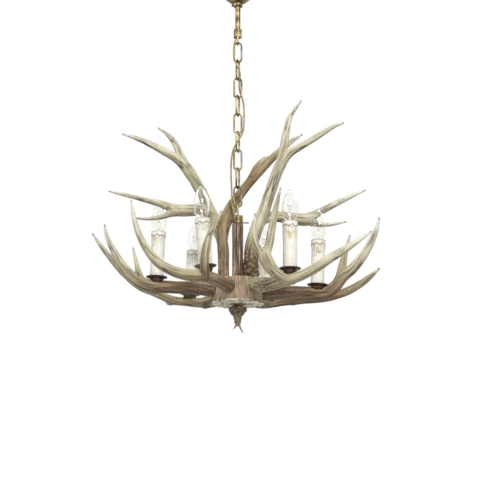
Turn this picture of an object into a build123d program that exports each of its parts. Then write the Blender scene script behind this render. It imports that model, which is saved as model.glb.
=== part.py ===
from build123d import *
import math
import os

# An antler chandelier with six candle lights, hung from the ceiling on a stem and a chain.
# Millimetres. The origin is on the ceiling, in the middle of the crossbar; +Z is up, the
# front of the lamp faces -Y, and +X is to the right of someone who looks at the front.

# ------------------------------------------------------------------ driving sizes
TURNING_FIT = 0.05         # radial clearance of a shaft that turns or slides in a hole
LOOSE_FIT = 0.25           # radial clearance of a piece that only stands in a hole
RUNNING_GAP = 0.3          # between curved neighbours that move on each other

# ceiling crossbar
BAR_LENGTH = 104.0
BAR_WIDTH = 22.0
BAR_THICKNESS = 2.0
BAR_DROP = 10.0            # how far the middle is joggled down, so that a nut fits above it
BAR_MIDDLE = 48.0
BAR_SLANT = 6.0
SLOT_SPACING = 80.0
SLOT_LENGTH = 12.0
SLOT_WIDTH = 5.0
NUT_ACROSS_FLATS = 17.0
NUT_HEIGHT = 5.0
TERMINAL_SIZE = (11.0, 20.0, 12.0)
TERMINAL_X = 17.5

# stem, canopy and coupler
STEM_RADIUS = 6.0
STEM_BORE = 4.6
STEM_TOP = -3.0
STEM_BOTTOM = -133.5
CANOPY_WALL = 1.2
CANOPY_BOTTOM = -67.0
CANOPY_NECK = 9.0
COLLAR_RADIUS = 11.0
COLLAR_HEIGHT = 7.5
SET_SCREW_RADIUS = 1.5
SET_SCREW_HEAD_RADIUS = 2.2
SET_SCREW_HEAD_LENGTH = 3.2
COUPLER_RADIUS = 9.5
COUPLER_TOP = -131.5
COUPLER_BOTTOM = -151.0
COUPLER_BORE = 8.05
KNURLS = 20
KNURL_DEPTH = 0.6

# chain
LINK_COUNT = 9
LINK_WIRE = 4.2
LINK_WIDTH = 21.0
LINK_TURN = 68.0           # from one link's plane to the next one's
LINK_PITCH = 42.9
FIRST_LINK_Z = -187.0
EYE_RADIUS = 6.0           # centre line of the two cast eyes that hold the chain
EYE_DISC_HEIGHT = 4.0

# flex
FLEX_RADIUS = 2.0
FLEX_HOLE_RADIUS = 2.4
TOP_EXIT_X = -4.4
BOTTOM_ENTRY_X = -7.2

# column, pipe, hub and finial
COLUMN_COLLAR_RADIUS = 11.7
COLUMN_COLLAR_BORE = 10.05
COLUMN_COLLAR_TOP = -575.0
COLUMN_COLLAR_FLOOR = 5.3
COLUMN_TOP = -593.3
COLUMN_RADIUS = 12.5
COLUMN_GROOVES = 7
COLUMN_GROOVE_RADIUS = 2.4
LEVER_RADIUS = 1.3
LEVER_REACH = 25.0
LEVER_BLADE = (11.0, 2.0, 3.2)
PIPE_RADIUS = 5.0
PIPE_BORE = 3.3
PIPE_TOP = -583.0
PIPE_BOTTOM = -789.0
HUB_TOP = -722.0
HUB_BOTTOM = -772.0
HUB_RADIUS = 54.0
HUB_EDGE = 4.0
CHAMBER_RADIUS = 22.0
CHAMBER_HEIGHT = 24.0
ROSETTE_RADIUS = 56.0
ROSETTE_RIPPLE = 1.4
ROSETTE_THICKNESS = 4.0
STUD_RADIUS = 4.0
STUD_IN_HUB = 14.0
STUD_IN_ANTLER = 18.0
CONNECTOR_RADIUS = 5.5
CONNECTOR_LENGTH = 16.0
FINIAL_BORE_DEPTH = 14.0

# candles
ARM_LEVEL = -742.0         # height from which the antlers' points are measured
CANDLE_CIRCLE = 179.0      # radius on which the candles stand
PAN_RADIUS = 23.5
PAN_WALL = 1.2
PAN_DEPTH = 4.2
PAN_FLOOR_RADIUS = 15.6
CUP_TOP_RADIUS = 15.0
CUP_FOOT_RADIUS = 12.0
CUP_FOOT = -14.0           # below the pan's rim
NIPPLE_RADIUS = 5.0
NIPPLE_BORE = 3.5
NIPPLE_DEPTH = 11.0        # how deep it is screwed into the antler
SLEEVE_RADIUS = 15.0
SLEEVE_BORE = 13.1
SLEEVE_LENGTH = 104.0
HOLDER_RADIUS = 12.6
HOLDER_HEIGHT = 36.0
HOLDER_FLOOR = 10.0
CAP_RADIUS = 6.95          # the small screw cap, 14 mm over its thread
CAP_HEIGHT = 24.0
GLASS_RADIUS = 17.5
GLASS_LENGTH = 71.5
GLASS_WALL = 0.8
DRIP_RADIUS = 1.7

# name, bearing from the front towards +X, height of the pan's rim over ARM_LEVEL,
# and how many degrees the candle leans towards +X
CANDLES = [
    (1, -82.0, 23.0, 1.6),
    (2, 218.0, 18.0, 4.5),
    (3, -22.0, 17.0, -4.0),
    (4, 158.0, 18.0, -2.5),
    (5, 38.0, 17.0, 0.5),
    (6, 98.0, 16.0, 1.9),
]

# Antlers. Each has the bearing that it leaves the middle on, and its limbs: the beam and
# the tines. A limb is a list of (out from the axis, across to its right, up from
# ARM_LEVEL, girth as a diameter).
LOWER_ANTLERS = {
    "antler_lower_left": (-82.0, [
        [(44, 0, -2, 33), (58, 0, -2, 32), (101, 1, 0, 29.5), (161, 2, 1, 27.5), (198, 2, 3, 27.5),
         (224, 3, 15, 26), (244, 3, 32, 23), (262, 4, 56, 18.5), (278, 4, 84, 14), (290, 5, 110, 10),
         (296, 5, 137, 3.5)],
        [(212, 0, 8, 17), (220, 14, 30, 14), (227, 21, 55, 8.5), (234, 24, 83, 3)],
    ]),
    "antler_lower_back_left": (218.0, [
        [(44, 0, -10, 33), (58, 1, -10, 33), (88, 4, -12, 31), (118, 6, -13, 24.5), (179, 4, -2, 20.5),
         (212, 28, 6, 19.5),
         (236, 59, 23, 20), (249, 92, 36, 20.5), (260, 124, 61, 19.5), (269, 157, 93, 15),
         (276, 184, 124, 10.5), (281, 205, 151, 3.5)],
        [(204, 20, 3, 17), (236, 16, 5, 15), (264, 5, 13, 11), (292, -8, 26, 3.5)],
        [(104, 5, -12, 22), (98, 14, -19, 21), (94, 20, -23.5, 19)],
    ]),
    "antler_lower_front_left": (-22.0, [
        [(44, 0, -2, 29), (58, 1, -2, 28), (112, 3, -4, 26.5), (181, 4, -6, 25), (211, -21, -8, 24),
         (231, -50, -1, 22.5), (243, -77, 16, 20.5), (249, -99, 42, 17.5), (250, -118, 75, 14.5),
         (248, -133, 114, 10.5), (242, -145, 159, 3)],
        [(192, 5, -8, 19.5), (214, 13, 17, 19.5), (217, 18, 47, 17.5), (213, 24, 73, 13.5),
         (205, 34, 102, 9), (196, 44, 128, 3)],
        [(248, -92, 32, 11.5), (238, -110, 58, 7.5), (231, -132, 98, 2.5)],
    ]),
    "antler_lower_back_right": (158.0, [
        [(44, 0, -12, 29), (58, -1, -12, 28), (114, -5, -11, 24), (182, -2, 0, 21), (210, -34, 8, 20),
         (228, -77, 13, 22), (239, -123, 16, 21), (247, -162, 25, 20.5), (250, -198, 40, 18.5),
         (252, -229, 60, 13), (253, -253, 79, 3.5)],
        [(222, -50, 9, 17), (245, -59, 14, 15), (266, -59, 24, 10.5), (286, -54, 36, 3.5)],
    ]),
    "antler_lower_front_right": (38.0, [
        [(44, 4, 1, 37), (57, 5, 1, 38), (68, 5, 0, 34), (80, 4, -2, 31), (118, 1, -6, 28.5), (179, -4, -7, 24.5), (204, 9, -2, 22),
         (226, 29, 13, 21), (245, 54, 34, 19), (262, 82, 55, 16), (276, 109, 76, 10.5), (289, 135, 97, 3)],
        [(180, -2, -10, 20), (168, -32, 4, 23), (164, -50, 28, 25), (162, -57, 45, 23)],
        [(163, -51, 36, 16), (159, -70, 57, 12.5), (158, -77, 86, 9), (158, -77, 129, 3)],
        [(163, -55, 37, 18), (167, -46, 65, 18), (167, -40, 96, 17), (168, -32, 132, 14),
         (169, -24, 164, 9.5), (171, -17, 193, 3)],
    ]),
    "antler_lower_right": (98.0, [
        [(44, 0, -7, 33), (58, -1, -7, 32.5), (105, -2, -5, 32), (150, -1, -5, 31), (189, -1, -4, 29),
         (215, -8, 9, 26.5), (234, -15, 32, 25.5), (256, -22, 51, 23.5), (277, -29, 78, 20),
         (295, -34, 109, 16.5), (307, -38, 138, 10.5), (314, -40, 166, 3.5)],
        [(226, -13, 24, 20), (235, -6, 59, 18), (245, -1, 97, 11), (256, 2, 134, 3)],
    ]),
}
UPPER_ANTLERS = {
    "antler_upper_left": (-85.0, [
        [(28, -36, 12, 24), (28, -36, 44, 24), (28, -38, 93, 24.5), (34, -41, 126, 26), (47, -42, 154, 27),
         (61, -35, 184, 29.5), (75, -25, 216, 26), (95, -16, 251, 25), (116, -12, 282, 23)],
        [(104, -13, 264, 21), (134, -8, 297, 20.5), (169, -2, 316, 18), (205, -1, 333, 14),
         (236, -1, 345, 9), (262, -1, 352, 3)],
        [(108, -12, 270, 20.5), (126, -16, 304, 19), (139, -18, 335, 15.5), (157, -25, 361, 10.5),
         (181, -31, 379, 3)],
        [(58, -36, 180, 24), (91, -8, 180, 27), (128, 23, 171, 27.5), (155, 38, 168, 24)],
        [(142, 34, 171, 21), (175, 43, 180, 15.5), (217, 48, 189, 12), (254, 52, 196, 8.5), (289, 53, 203, 3)],
        [(144, 35, 164, 18.5), (172, 43, 150, 11), (201, 48, 144, 8), (228, 50, 144, 4)],
    ]),
    "antler_upper_right": (80.0, [
        [(26, 14, 12, 35), (26, 14, 40, 35), (27, 12, 63, 33.5), (31, 8, 101, 30), (43, 5, 139, 28),
         (58, 4, 175, 26.5), (73, 3, 218, 25), (89, 1, 263, 24.5), (102, 0, 294, 22)],
        [(97, 1, 282, 21.5), (105, 2, 325, 18.5), (111, 5, 364, 16), (120, 9, 400, 12), (145, 16, 436, 3)],
        [(94, 1, 274, 20), (118, -2, 306, 19), (147, -5, 322, 16.5), (183, -6, 342, 14),
         (215, -7, 360, 10), (243, -6, 370, 3)],
        [(47, 5, 152, 23), (69, 24, 168, 24.5), (100, 48, 171, 26), (135, 73, 171, 28.5), (154, 84, 174, 24)],
        [(142, 77, 174, 21.5), (171, 94, 192, 17), (203, 105, 211, 15), (239, 115, 230, 10.5),
         (277, 124, 248, 3)],
        [(143, 78, 170, 19.5), (173, 95, 163, 11.5), (202, 107, 166, 8), (233, 116, 173, 3)],
    ]),
    "antler_upper_back": (150.0, [
        [(-11, 30, 12, 24.5), (-11, 30, 38, 24.5), (-11, 31, 79, 24.5), (-10, 33, 119, 25),
         (0, 32, 157, 29), (20, 28, 194, 27), (41, 21, 225, 21.5), (67, 9, 261, 20.5),
         (101, -6, 301, 19.5), (139, -25, 346, 17), (177, -42, 382, 12), (207, -59, 407, 3.5)],
        [(72, 5, 271, 19.5), (101, 6, 305, 19.5), (142, 14, 333, 16.5), (182, 25, 355, 10.5),
         (205, 35, 364, 3.5)],
        [(8, 33, 160, 22), (46, 50, 189, 20.5), (82, 67, 209, 18.5), (118, 85, 224, 13), (147, 101, 233, 3.5)],
    ]),
}
LIMB_STEPS = 2             # sections between two neighbouring points of a limb

# The flex's route from the coupler to the column, woven down beside the chain.
FLEX_ROUTE = [
    (TOP_EXIT_X, 0, -146), (TOP_EXIT_X, 0, -154.5), (-8.6, -5.4, -167), (-9.8, -6.2, -186),
    (-8.6, -8.6, -204), (-4.5, -13.2, -219), (2, -13.8, -231), (6, -10.4, -244), (3.6, -3.6, -258),
    (2.9, 3.4, -270), (5.6, 8.2, -283), (10.8, 7, -297), (13.6, 2.4, -313), (14.3, -0.4, -334),
    (14.4, -1, -358), (12.6, -4.8, -378), (7, -11.6, -392), (-0.8, -14.6, -406), (-8.4, -10.8, -419),
    (-13.2, -5.2, -434), (-15.2, -1.2, -454), (-15.4, 0.8, -480), (-14, 0.6, -506), (-13.6, 0, -530),
    (-13.3, 0, -548), (-9.3, 0, -561), (BOTTOM_ENTRY_X, 0, -571), (BOTTOM_ENTRY_X, 0, -581),
]
LEAD_ROUTE = [
    (TERMINAL_X, 0, -24), (TERMINAL_X, 0, -36), (10.5, 0, -46), (1.2, 0, -60), (0.9, 0.6, -82),
    (-0.4, -0.6, -102), (-0.9, 0.3, -119), (-1.3, 0, -131), (TOP_EXIT_X, 0, -140.5), (TOP_EXIT_X, 0, -145.9),
]

# ------------------------------------------------------------------ worked-out sizes
LINK_LENGTH = LINK_PITCH + 2 * LINK_WIRE + RUNNING_GAP
LINK_BEND = (LINK_WIDTH - LINK_WIRE) / 2
LINK_HALF = LINK_LENGTH / 2 - LINK_WIRE / 2        # centre of a link to its end bar's centre
BAR_TO_BAR = LINK_WIRE + RUNNING_GAP
TOP_EYE_BAR_Z = FIRST_LINK_Z + LINK_HALF - BAR_TO_BAR
LAST_LINK_Z = FIRST_LINK_Z - LINK_PITCH * (LINK_COUNT - 1)
BOTTOM_EYE_BAR_Z = LAST_LINK_Z - LINK_HALF + BAR_TO_BAR
BAR_UNDERSIDE = -BAR_DROP - BAR_THICKNESS
SLEEVE_FOOT = -PAN_DEPTH + PAN_WALL
SLEEVE_TOP = SLEEVE_FOOT + SLEEVE_LENGTH
HOLDER_TOP = SLEEVE_TOP + 0.5
CAP_TOP = HOLDER_TOP + 0.4
HOLDER_BOTTOM = HOLDER_TOP - HOLDER_HEIGHT


# ------------------------------------------------------------------ helpers
def cylinder(radius, bottom, top, x=0.0, y=0.0):
    """An upright round bar between two heights."""
    return Pos(x, y, (bottom + top) / 2) * Cylinder(radius, abs(top - bottom))


def cross_bar(radius, start, end, z, y=0.0):
    """A round bar along X between two places."""
    return Pos((start + end) / 2, y, z) * Rot(0, 90, 0) * Cylinder(radius, end - start)


def turned(points):
    """A solid turned about Z from straight-sided (radius, height) points."""
    outline = Polyline(*[(r, 0, z) for r, z in points], close=True)
    return revolve(make_face(outline), axis=Axis.Z)


def offset_curve(points, wall):
    """The (radius, height) points moved inwards by a wall, square to the curve."""
    inner = []
    last = len(points) - 1
    for i, (r, z) in enumerate(points):
        ahead = points[min(i + 1, last)]
        behind = points[max(i - 1, 0)]
        dr, dz = ahead[0] - behind[0], ahead[1] - behind[1]
        length = math.hypot(dr, dz)
        inner.append((r + wall * dz / length, z - wall * dr / length))
    return inner


def turned_shell(points, wall):
    """A thin turned shell: a smooth outer curve and the same curve moved in by the wall."""
    inner = offset_curve(points, wall)
    outer_edge = Spline(*[(r, 0, z) for r, z in points])
    inner_edge = Spline(*[(r, 0, z) for r, z in inner])
    start = Line((points[0][0], 0, points[0][1]), (inner[0][0], 0, inner[0][1]))
    end = Line((points[-1][0], 0, points[-1][1]), (inner[-1][0], 0, inner[-1][1]))
    return revolve(make_face([outer_edge, start, inner_edge, end]), axis=Axis.Z)


def smoothed(points, steps):
    """The points with steps - 1 more between each two, on one smooth curve through all."""
    result = []
    last = len(points) - 1
    for i in range(last):
        p0, p1 = points[max(i - 1, 0)], points[i]
        p2, p3 = points[i + 1], points[min(i + 2, last)]
        for k in range(steps):
            t = k / steps
            result.append(tuple(
                0.5 * (2 * b + (c - a) * t + (2 * a - 5 * b + 4 * c - d) * t ** 2
                       + (3 * b - a - 3 * c + d) * t ** 3)
                for a, b, c, d in zip(p0, p1, p2, p3)))
    result.append(points[-1])
    return result


def limb(points, steps=LIMB_STEPS):
    """A tapering limb of round sections along (x, y, z, diameter) points."""
    stations = smoothed(points, steps)
    centres = [Vector(*p[:3]) for p in stations]
    last = len(centres) - 1
    side = None
    sections = []
    for i, centre in enumerate(centres):
        along = (centres[min(i + 1, last)] - centres[max(i - 1, 0)]).normalized()
        if side is None:
            side = along.cross(Vector(0.21, 0.94, 0.27))
        side = (side - along * side.dot(along)).normalized()
        plane = Plane(origin=centre, x_dir=side, z_dir=along)
        sections.append(plane * Circle(stations[i][3] / 2))
    return loft(sections, ruled=True)


def tube(route, radius, name):
    """A round cord along straight runs that are joined by arcs as large as the runs allow."""
    points = [Vector(*p) for p in route]
    radii = []
    for a, b, c in zip(points, points[1:], points[2:]):
        turn = math.radians((b - a).get_angle(c - b))
        shorter = min((b - a).length, (c - b).length)
        radii.append(0.45 * shorter / math.tan(turn / 2))
    path = FilletPolyline(*points, radius=radii)
    start = Plane(origin=points[0], z_dir=points[1] - points[0])
    cord = sweep(start * Circle(radius), path=path)
    print(name, "length", round(path.length, 1), "volume over section times length",
          round(cord.volume / (math.pi * radius ** 2 * path.length), 4))
    print(name, "radii", [round(r) for r in radii])
    return cord


def save(node, solids):
    """Writes one node: a single solid, or a group of separate solids."""
    if isinstance(solids, list):
        solids = Compound(children=solids) if len(solids) > 1 else solids[0]
    solids.label = node
    export_step(solids, "parts/" + node + ".step")


# ------------------------------------------------------------------ ceiling fixing
def make_crossbar():
    half, middle = BAR_LENGTH / 2, BAR_MIDDLE / 2
    slant = middle + BAR_SLANT
    low = BAR_UNDERSIDE
    right = [(middle, low), (slant, -BAR_THICKNESS), (half, -BAR_THICKNESS), (half, 0)]
    right += [(slant - BAR_THICKNESS / 2, 0), (middle - BAR_THICKNESS / 2, low + BAR_THICKNESS)]
    left = [(-x, z) for x, z in reversed(right)]
    outline = Polyline(*[(x, 0, z) for x, z in right + left], close=True)
    strap = extrude(make_face(outline), amount=BAR_WIDTH / 2, dir=(0, 1, 0), both=True)
    for x in (-SLOT_SPACING / 2, SLOT_SPACING / 2):
        slot = Box(SLOT_LENGTH - SLOT_WIDTH, SLOT_WIDTH, 4 * BAR_THICKNESS)
        reach = (SLOT_LENGTH - SLOT_WIDTH) / 2
        slot += Pos(-reach, 0, 0) * Cylinder(SLOT_WIDTH / 2, 4 * BAR_THICKNESS)
        slot += Pos(reach, 0, 0) * Cylinder(SLOT_WIDTH / 2, 4 * BAR_THICKNESS)
        strap -= Pos(x, 0, 0) * slot
    strap -= Pos(0, 0, low) * Cylinder(STEM_RADIUS + LOOSE_FIT, 6 * BAR_THICKNESS)
    return strap


def make_nut(bottom):
    nut = extrude(RegularPolygon(NUT_ACROSS_FLATS / 2, 6, major_radius=False), amount=NUT_HEIGHT)
    return Pos(0, 0, bottom) * (nut - Cylinder(STEM_RADIUS + TURNING_FIT, 4 * NUT_HEIGHT))


def make_terminal():
    length, width, height = TERMINAL_SIZE
    block = Pos(TERMINAL_X, 0, BAR_UNDERSIDE - height / 2) * Box(length, width, height)
    for y in (-width / 3, 0, width / 3):
        block -= Pos(TERMINAL_X, y, BAR_UNDERSIDE - height) * Cylinder(1.6, 2)
    return block


def make_stem():
    stem = cylinder(STEM_RADIUS, STEM_BOTTOM, STEM_TOP)
    stem -= cylinder(STEM_BORE, STEM_BOTTOM - 1, STEM_TOP + 1)
    # the hole that the supply lead goes in through follows the lead's slant
    into, inside = Vector(*LEAD_ROUTE[2]), Vector(*LEAD_ROUTE[3])
    slant = Plane(origin=(into + inside) / 2, z_dir=inside - into)
    return stem - slant * Cylinder(FLEX_RADIUS + 1.6, (inside - into).length * 1.6)


def make_canopy():
    outline = [(57, -1), (56.5, -5), (50, -9.5), (43.5, -18), (40, -30), (36.5, -42), (31.5, -51),
               (24.8, -57.5), (16.5, -63.5), (CANOPY_NECK, CANOPY_BOTTOM + CANOPY_WALL)]
    bell = turned_shell(outline, CANOPY_WALL)
    bell += cylinder(CANOPY_NECK, CANOPY_BOTTOM, CANOPY_BOTTOM + 2 * CANOPY_WALL)
    bell += Pos(0, 0, -2.6) * Torus(57, 1.6)
    return bell - cylinder(STEM_RADIUS + LOOSE_FIT, CANOPY_BOTTOM - 1, -50)


def make_canopy_collar():
    bottom = CANOPY_BOTTOM - COLLAR_HEIGHT
    ring = chamfer(cylinder(COLLAR_RADIUS, bottom, CANOPY_BOTTOM).edges(), 0.8)
    ring -= cylinder(STEM_RADIUS + TURNING_FIT, bottom - 1, CANOPY_BOTTOM + 1)
    middle = (bottom + CANOPY_BOTTOM) / 2
    return ring - cross_bar(SET_SCREW_RADIUS + TURNING_FIT, -COLLAR_RADIUS - 1, 0, middle)


def make_canopy_screw():
    z = CANOPY_BOTTOM - COLLAR_HEIGHT / 2
    inner = -STEM_RADIUS - RUNNING_GAP
    face = -COLLAR_RADIUS - RUNNING_GAP
    screw = cross_bar(SET_SCREW_RADIUS, face - 1, inner, z)
    return screw + cross_bar(SET_SCREW_HEAD_RADIUS, face - SET_SCREW_HEAD_LENGTH, face, z)


def knurled(solid, radius, bottom, top):
    """Straight knurling: small grooves cut all round."""
    middle = (bottom + top) / 2
    length = (top - bottom) * 0.72
    for groove in PolarLocations(radius + KNURL_DEPTH, KNURLS):
        solid -= Pos(0, 0, middle) * groove * Cylinder(2 * KNURL_DEPTH, length)
    return solid


def make_coupler():
    body = chamfer(cylinder(COUPLER_RADIUS, COUPLER_BOTTOM, COUPLER_TOP).edges(), 0.8)
    body -= cylinder(STEM_RADIUS + TURNING_FIT, COUPLER_BOTTOM - 1, COUPLER_TOP + 1)
    body -= cylinder(COUPLER_BORE, COUPLER_BOTTOM - 1, STEM_BOTTOM)
    return knurled(body, COUPLER_RADIUS, COUPLER_BOTTOM, COUPLER_TOP)


# ------------------------------------------------------------------ chain and its eyes
def make_eye(bar_z, disc_z, disc_radius, hole_x, wire):
    """A cast eye: half a ring, two legs and the round foot that it is screwed in by.
    disc_z is the foot's outer face, and the eye opens away from it."""
    away = 1 if bar_z > disc_z else -1
    centre_z = bar_z - away * EYE_RADIUS
    ring = Pos(0, 0, centre_z) * Rot(0, 90, 0) * Torus(EYE_RADIUS, wire / 2)
    ring -= Pos(0, 0, centre_z - away * 20) * Box(40, 40, 40)
    for y in (-EYE_RADIUS, EYE_RADIUS):
        ring += cylinder(wire / 2, min(centre_z, disc_z), max(centre_z, disc_z), 0, y)
    inside = disc_z - away * EYE_DISC_HEIGHT
    foot = cylinder(disc_radius, min(inside, disc_z), max(inside, disc_z))
    foot -= cylinder(FLEX_HOLE_RADIUS, min(inside, disc_z) - 1, max(inside, disc_z) + 1, hole_x)
    return ring + foot


def make_link(index):
    """Link number index, from 1 at the top; odd ones lie in the XZ plane, even ones are turned."""
    straight = LINK_HALF - LINK_BEND
    path = SlotCenterToCenter(2 * straight, 2 * LINK_BEND, rotation=90).wire()
    link = None
    for side in (-LINK_BEND, LINK_BEND):
        leg = Pos(side, 0, 0) * Cylinder(LINK_WIRE / 2, 2 * straight)
        link = leg if link is None else link + leg
    for end in (-1, 1):
        bend = Rot(90, 0, 0) * Torus(LINK_BEND, LINK_WIRE / 2)
        bend -= Pos(0, 0, -end * 20) * Box(60, 60, 40)
        link += Pos(0, 0, end * straight) * bend
    turn = 0 if index % 2 else LINK_TURN
    return Pos(0, 0, FIRST_LINK_Z - LINK_PITCH * (index - 1)) * Rot(0, 0, turn) * link


# ------------------------------------------------------------------ column, hub, finial
def make_column_collar():
    body = chamfer(cylinder(COLUMN_COLLAR_RADIUS, COLUMN_TOP, COLUMN_COLLAR_TOP).edges(), 0.8)
    body -= cylinder(COLUMN_COLLAR_BORE, COLUMN_TOP + COLUMN_COLLAR_FLOOR, COLUMN_COLLAR_TOP + 1)
    body -= cylinder(PIPE_RADIUS + TURNING_FIT, COLUMN_TOP - 1, COLUMN_COLLAR_TOP)
    z = COLUMN_TOP + COLUMN_COLLAR_FLOOR / 2
    body = knurled(body, COLUMN_COLLAR_RADIUS, COLUMN_TOP + COLUMN_COLLAR_FLOOR, COLUMN_COLLAR_TOP)
    return body - cross_bar(LEVER_RADIUS + TURNING_FIT, PIPE_RADIUS, COLUMN_COLLAR_RADIUS + 1, z)


def make_lever():
    z = COLUMN_TOP + COLUMN_COLLAR_FLOOR / 2
    length, thickness, height = LEVER_BLADE
    rod = cross_bar(LEVER_RADIUS, PIPE_RADIUS + RUNNING_GAP, LEVER_REACH - length + 2, z)
    blade = Pos(LEVER_REACH - length / 2, 0, z) * Box(length, thickness, height)
    return rod + fillet(blade.edges().filter_by(Axis.Y), height * 0.45)


def make_column():
    post = chamfer(cylinder(COLUMN_RADIUS, HUB_TOP, COLUMN_TOP).edges(), 0.5)
    post -= cylinder(PIPE_RADIUS + LOOSE_FIT, HUB_TOP - 1, COLUMN_TOP + 1)
    length = COLUMN_TOP - HUB_TOP
    for groove in PolarLocations(COLUMN_RADIUS + COLUMN_GROOVE_RADIUS * 0.45, COLUMN_GROOVES):
        post -= Pos(0, 0, (COLUMN_TOP + HUB_TOP) / 2) * groove * Cylinder(COLUMN_GROOVE_RADIUS, length + 2)
    return post


def make_pipe():
    pipe = cylinder(PIPE_RADIUS, PIPE_BOTTOM, PIPE_TOP)
    pipe -= cylinder(PIPE_BORE, PIPE_BOTTOM - 1, PIPE_TOP + 1)
    wire_hole = HUB_BOTTOM + CHAMBER_HEIGHT / 2
    return pipe - cross_bar(2.2, -PIPE_RADIUS - 1, PIPE_RADIUS + 1, wire_hole)


def at_bearing(bearing, out, across):
    """Plan position of a point given out along a bearing and across to its right."""
    angle = math.radians(bearing)
    return (out * math.sin(angle) + across * math.cos(angle),
            across * math.sin(angle) - out * math.cos(angle))


def stud_solids(radius, extra=0.0):
    """The studs that hold the antlers, or with some extra radius the holes for them."""
    solids = []
    for bearing, limbs in LOWER_ANTLERS.values():
        out, across, up, girth = limbs[0][0]
        z = ARM_LEVEL + up
        length = STUD_IN_HUB + STUD_IN_ANTLER + 2 * extra
        middle = HUB_RADIUS + (STUD_IN_ANTLER - STUD_IN_HUB) / 2
        x, y = at_bearing(bearing, middle, across)
        stud = Rot(0, 0, bearing - 90) * Rot(0, 90, 0) * Cylinder(radius, length)
        solids.append(Pos(x, y, z) * stud)
    for bearing, limbs in UPPER_ANTLERS.values():
        out, across, up, girth = limbs[0][0]
        x, y = at_bearing(bearing, out, across)
        solids.append(cylinder(radius, HUB_TOP - STUD_IN_HUB - extra, HUB_TOP + STUD_IN_ANTLER + extra, x, y))
    return solids


def make_hub(stud_holes):
    hub = cylinder(HUB_RADIUS, HUB_BOTTOM, HUB_TOP)
    hub -= cylinder(CHAMBER_RADIUS, HUB_BOTTOM - 1, HUB_BOTTOM + CHAMBER_HEIGHT)
    hub -= cylinder(PIPE_RADIUS + LOOSE_FIT, HUB_BOTTOM - 1, HUB_TOP + 1)
    for hole in stud_holes:
        hub -= hole
    return hub


def make_rosette():
    points = []
    for k in range(60):
        angle = math.tau * k / 60
        ripple = math.sin(15 * angle) + 0.6 * math.sin(4 * angle + 1)
        radius = ROSETTE_RADIUS + ROSETTE_RIPPLE * ripple
        points.append((radius * math.cos(angle), radius * math.sin(angle)))
    rim = make_face(Spline(*points, periodic=True))
    plate = Pos(0, 0, HUB_BOTTOM - ROSETTE_THICKNESS) * extrude(rim, amount=ROSETTE_THICKNESS)
    return plate - cylinder(PIPE_RADIUS + LOOSE_FIT, HUB_BOTTOM - 10, HUB_BOTTOM + 1)


def make_connectors():
    solids = []
    for bearing in (60, 180, 300):
        x, y = at_bearing(bearing, (PIPE_RADIUS + CHAMBER_RADIUS) / 2, 0)
        body = cylinder(CONNECTOR_RADIUS, HUB_BOTTOM, HUB_BOTTOM + CONNECTOR_LENGTH, x, y)
        solids.append(chamfer(body.edges().sort_by(Axis.Z)[-1], 1.5))
    return solids


def make_finial():
    top = HUB_BOTTOM - ROSETTE_THICKNESS
    body = turned([(0, top), (9, top), (9, top - 5), (18, top - 6.5), (20.3, top - 9.5), (20, top - 13),
                   (16, top - 19), (10.3, top - 26), (8, top - 34), (6.3, top - 44), (4, top - 48),
                   (0, top - 48)])
    left = [(-1, 0, top - 38, 6), (-3.5, 0, top - 46, 5), (-6.5, -1, top - 51, 4), (-9.5, -2, top - 55, 2)]
    right = [(1, 0, top - 38, 6), (4, -1, top - 48, 5), (8, -2, top - 57, 4), (12, -3, top - 65, 2)]
    body = body + limb(left) + limb(right)
    return body - cylinder(PIPE_RADIUS + TURNING_FIT, top - FINIAL_BORE_DEPTH, top + 1)


# ------------------------------------------------------------------ candles
def candle_place(candle):
    """Where a candle's own upright frame lies; its origin is in the pan, level with the rim."""
    number, bearing, height, lean = candle
    x, y = at_bearing(bearing, CANDLE_CIRCLE, 0)
    return Location((x, y, ARM_LEVEL + height), (0, lean, 0))


def cup_outline(grown=0.0):
    under_pan = -PAN_DEPTH
    return [(0, CUP_FOOT), (CUP_FOOT_RADIUS + grown, CUP_FOOT),
            (CUP_TOP_RADIUS + grown, (CUP_FOOT + under_pan) / 2), (CUP_TOP_RADIUS + grown, under_pan),
            (0, under_pan)]


def make_seat():
    """What is cut out of an antler under a candle: the nipple's hole, the cup's seat and
    the room that the pan takes up."""
    foot = PAN_FLOOR_RADIUS + LOOSE_FIT
    rim = PAN_RADIUS + LOOSE_FIT
    floor = -PAN_DEPTH - LOOSE_FIT
    seat = turned([(0, CUP_FOOT), (CUP_FOOT_RADIUS + LOOSE_FIT, CUP_FOOT),
                   (CUP_TOP_RADIUS + LOOSE_FIT, (CUP_FOOT - PAN_DEPTH) / 2),
                   (CUP_TOP_RADIUS + LOOSE_FIT, floor), (foot, floor), (rim - 1.5, floor + 2.2),
                   (rim, -0.4), (rim, 12), (0, 12)])
    return seat + cylinder(NIPPLE_RADIUS + TURNING_FIT, CUP_FOOT - NIPPLE_DEPTH, CUP_FOOT + 1)


def make_cup():
    return turned(cup_outline()) - cylinder(NIPPLE_RADIUS + TURNING_FIT, CUP_FOOT - 1, 1)


def make_pan():
    floor = -PAN_DEPTH
    dish = turned([(0, floor), (PAN_FLOOR_RADIUS, floor), (PAN_RADIUS - 1.5, floor + 2.2),
                   (PAN_RADIUS, -0.4), (PAN_RADIUS, 0), (PAN_RADIUS - PAN_WALL, 0),
                   (PAN_RADIUS - PAN_WALL - 1.3, floor + 3), (PAN_FLOOR_RADIUS, floor + PAN_WALL),
                   (0, floor + PAN_WALL)])
    return dish - cylinder(NIPPLE_RADIUS + TURNING_FIT, floor - 1, 1)


def make_nipple():
    bottom = CUP_FOOT - NIPPLE_DEPTH + RUNNING_GAP
    top = HOLDER_BOTTOM + HOLDER_FLOOR / 2
    return cylinder(NIPPLE_RADIUS, bottom, top) - cylinder(NIPPLE_BORE, bottom - 1, top + 1)


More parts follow.
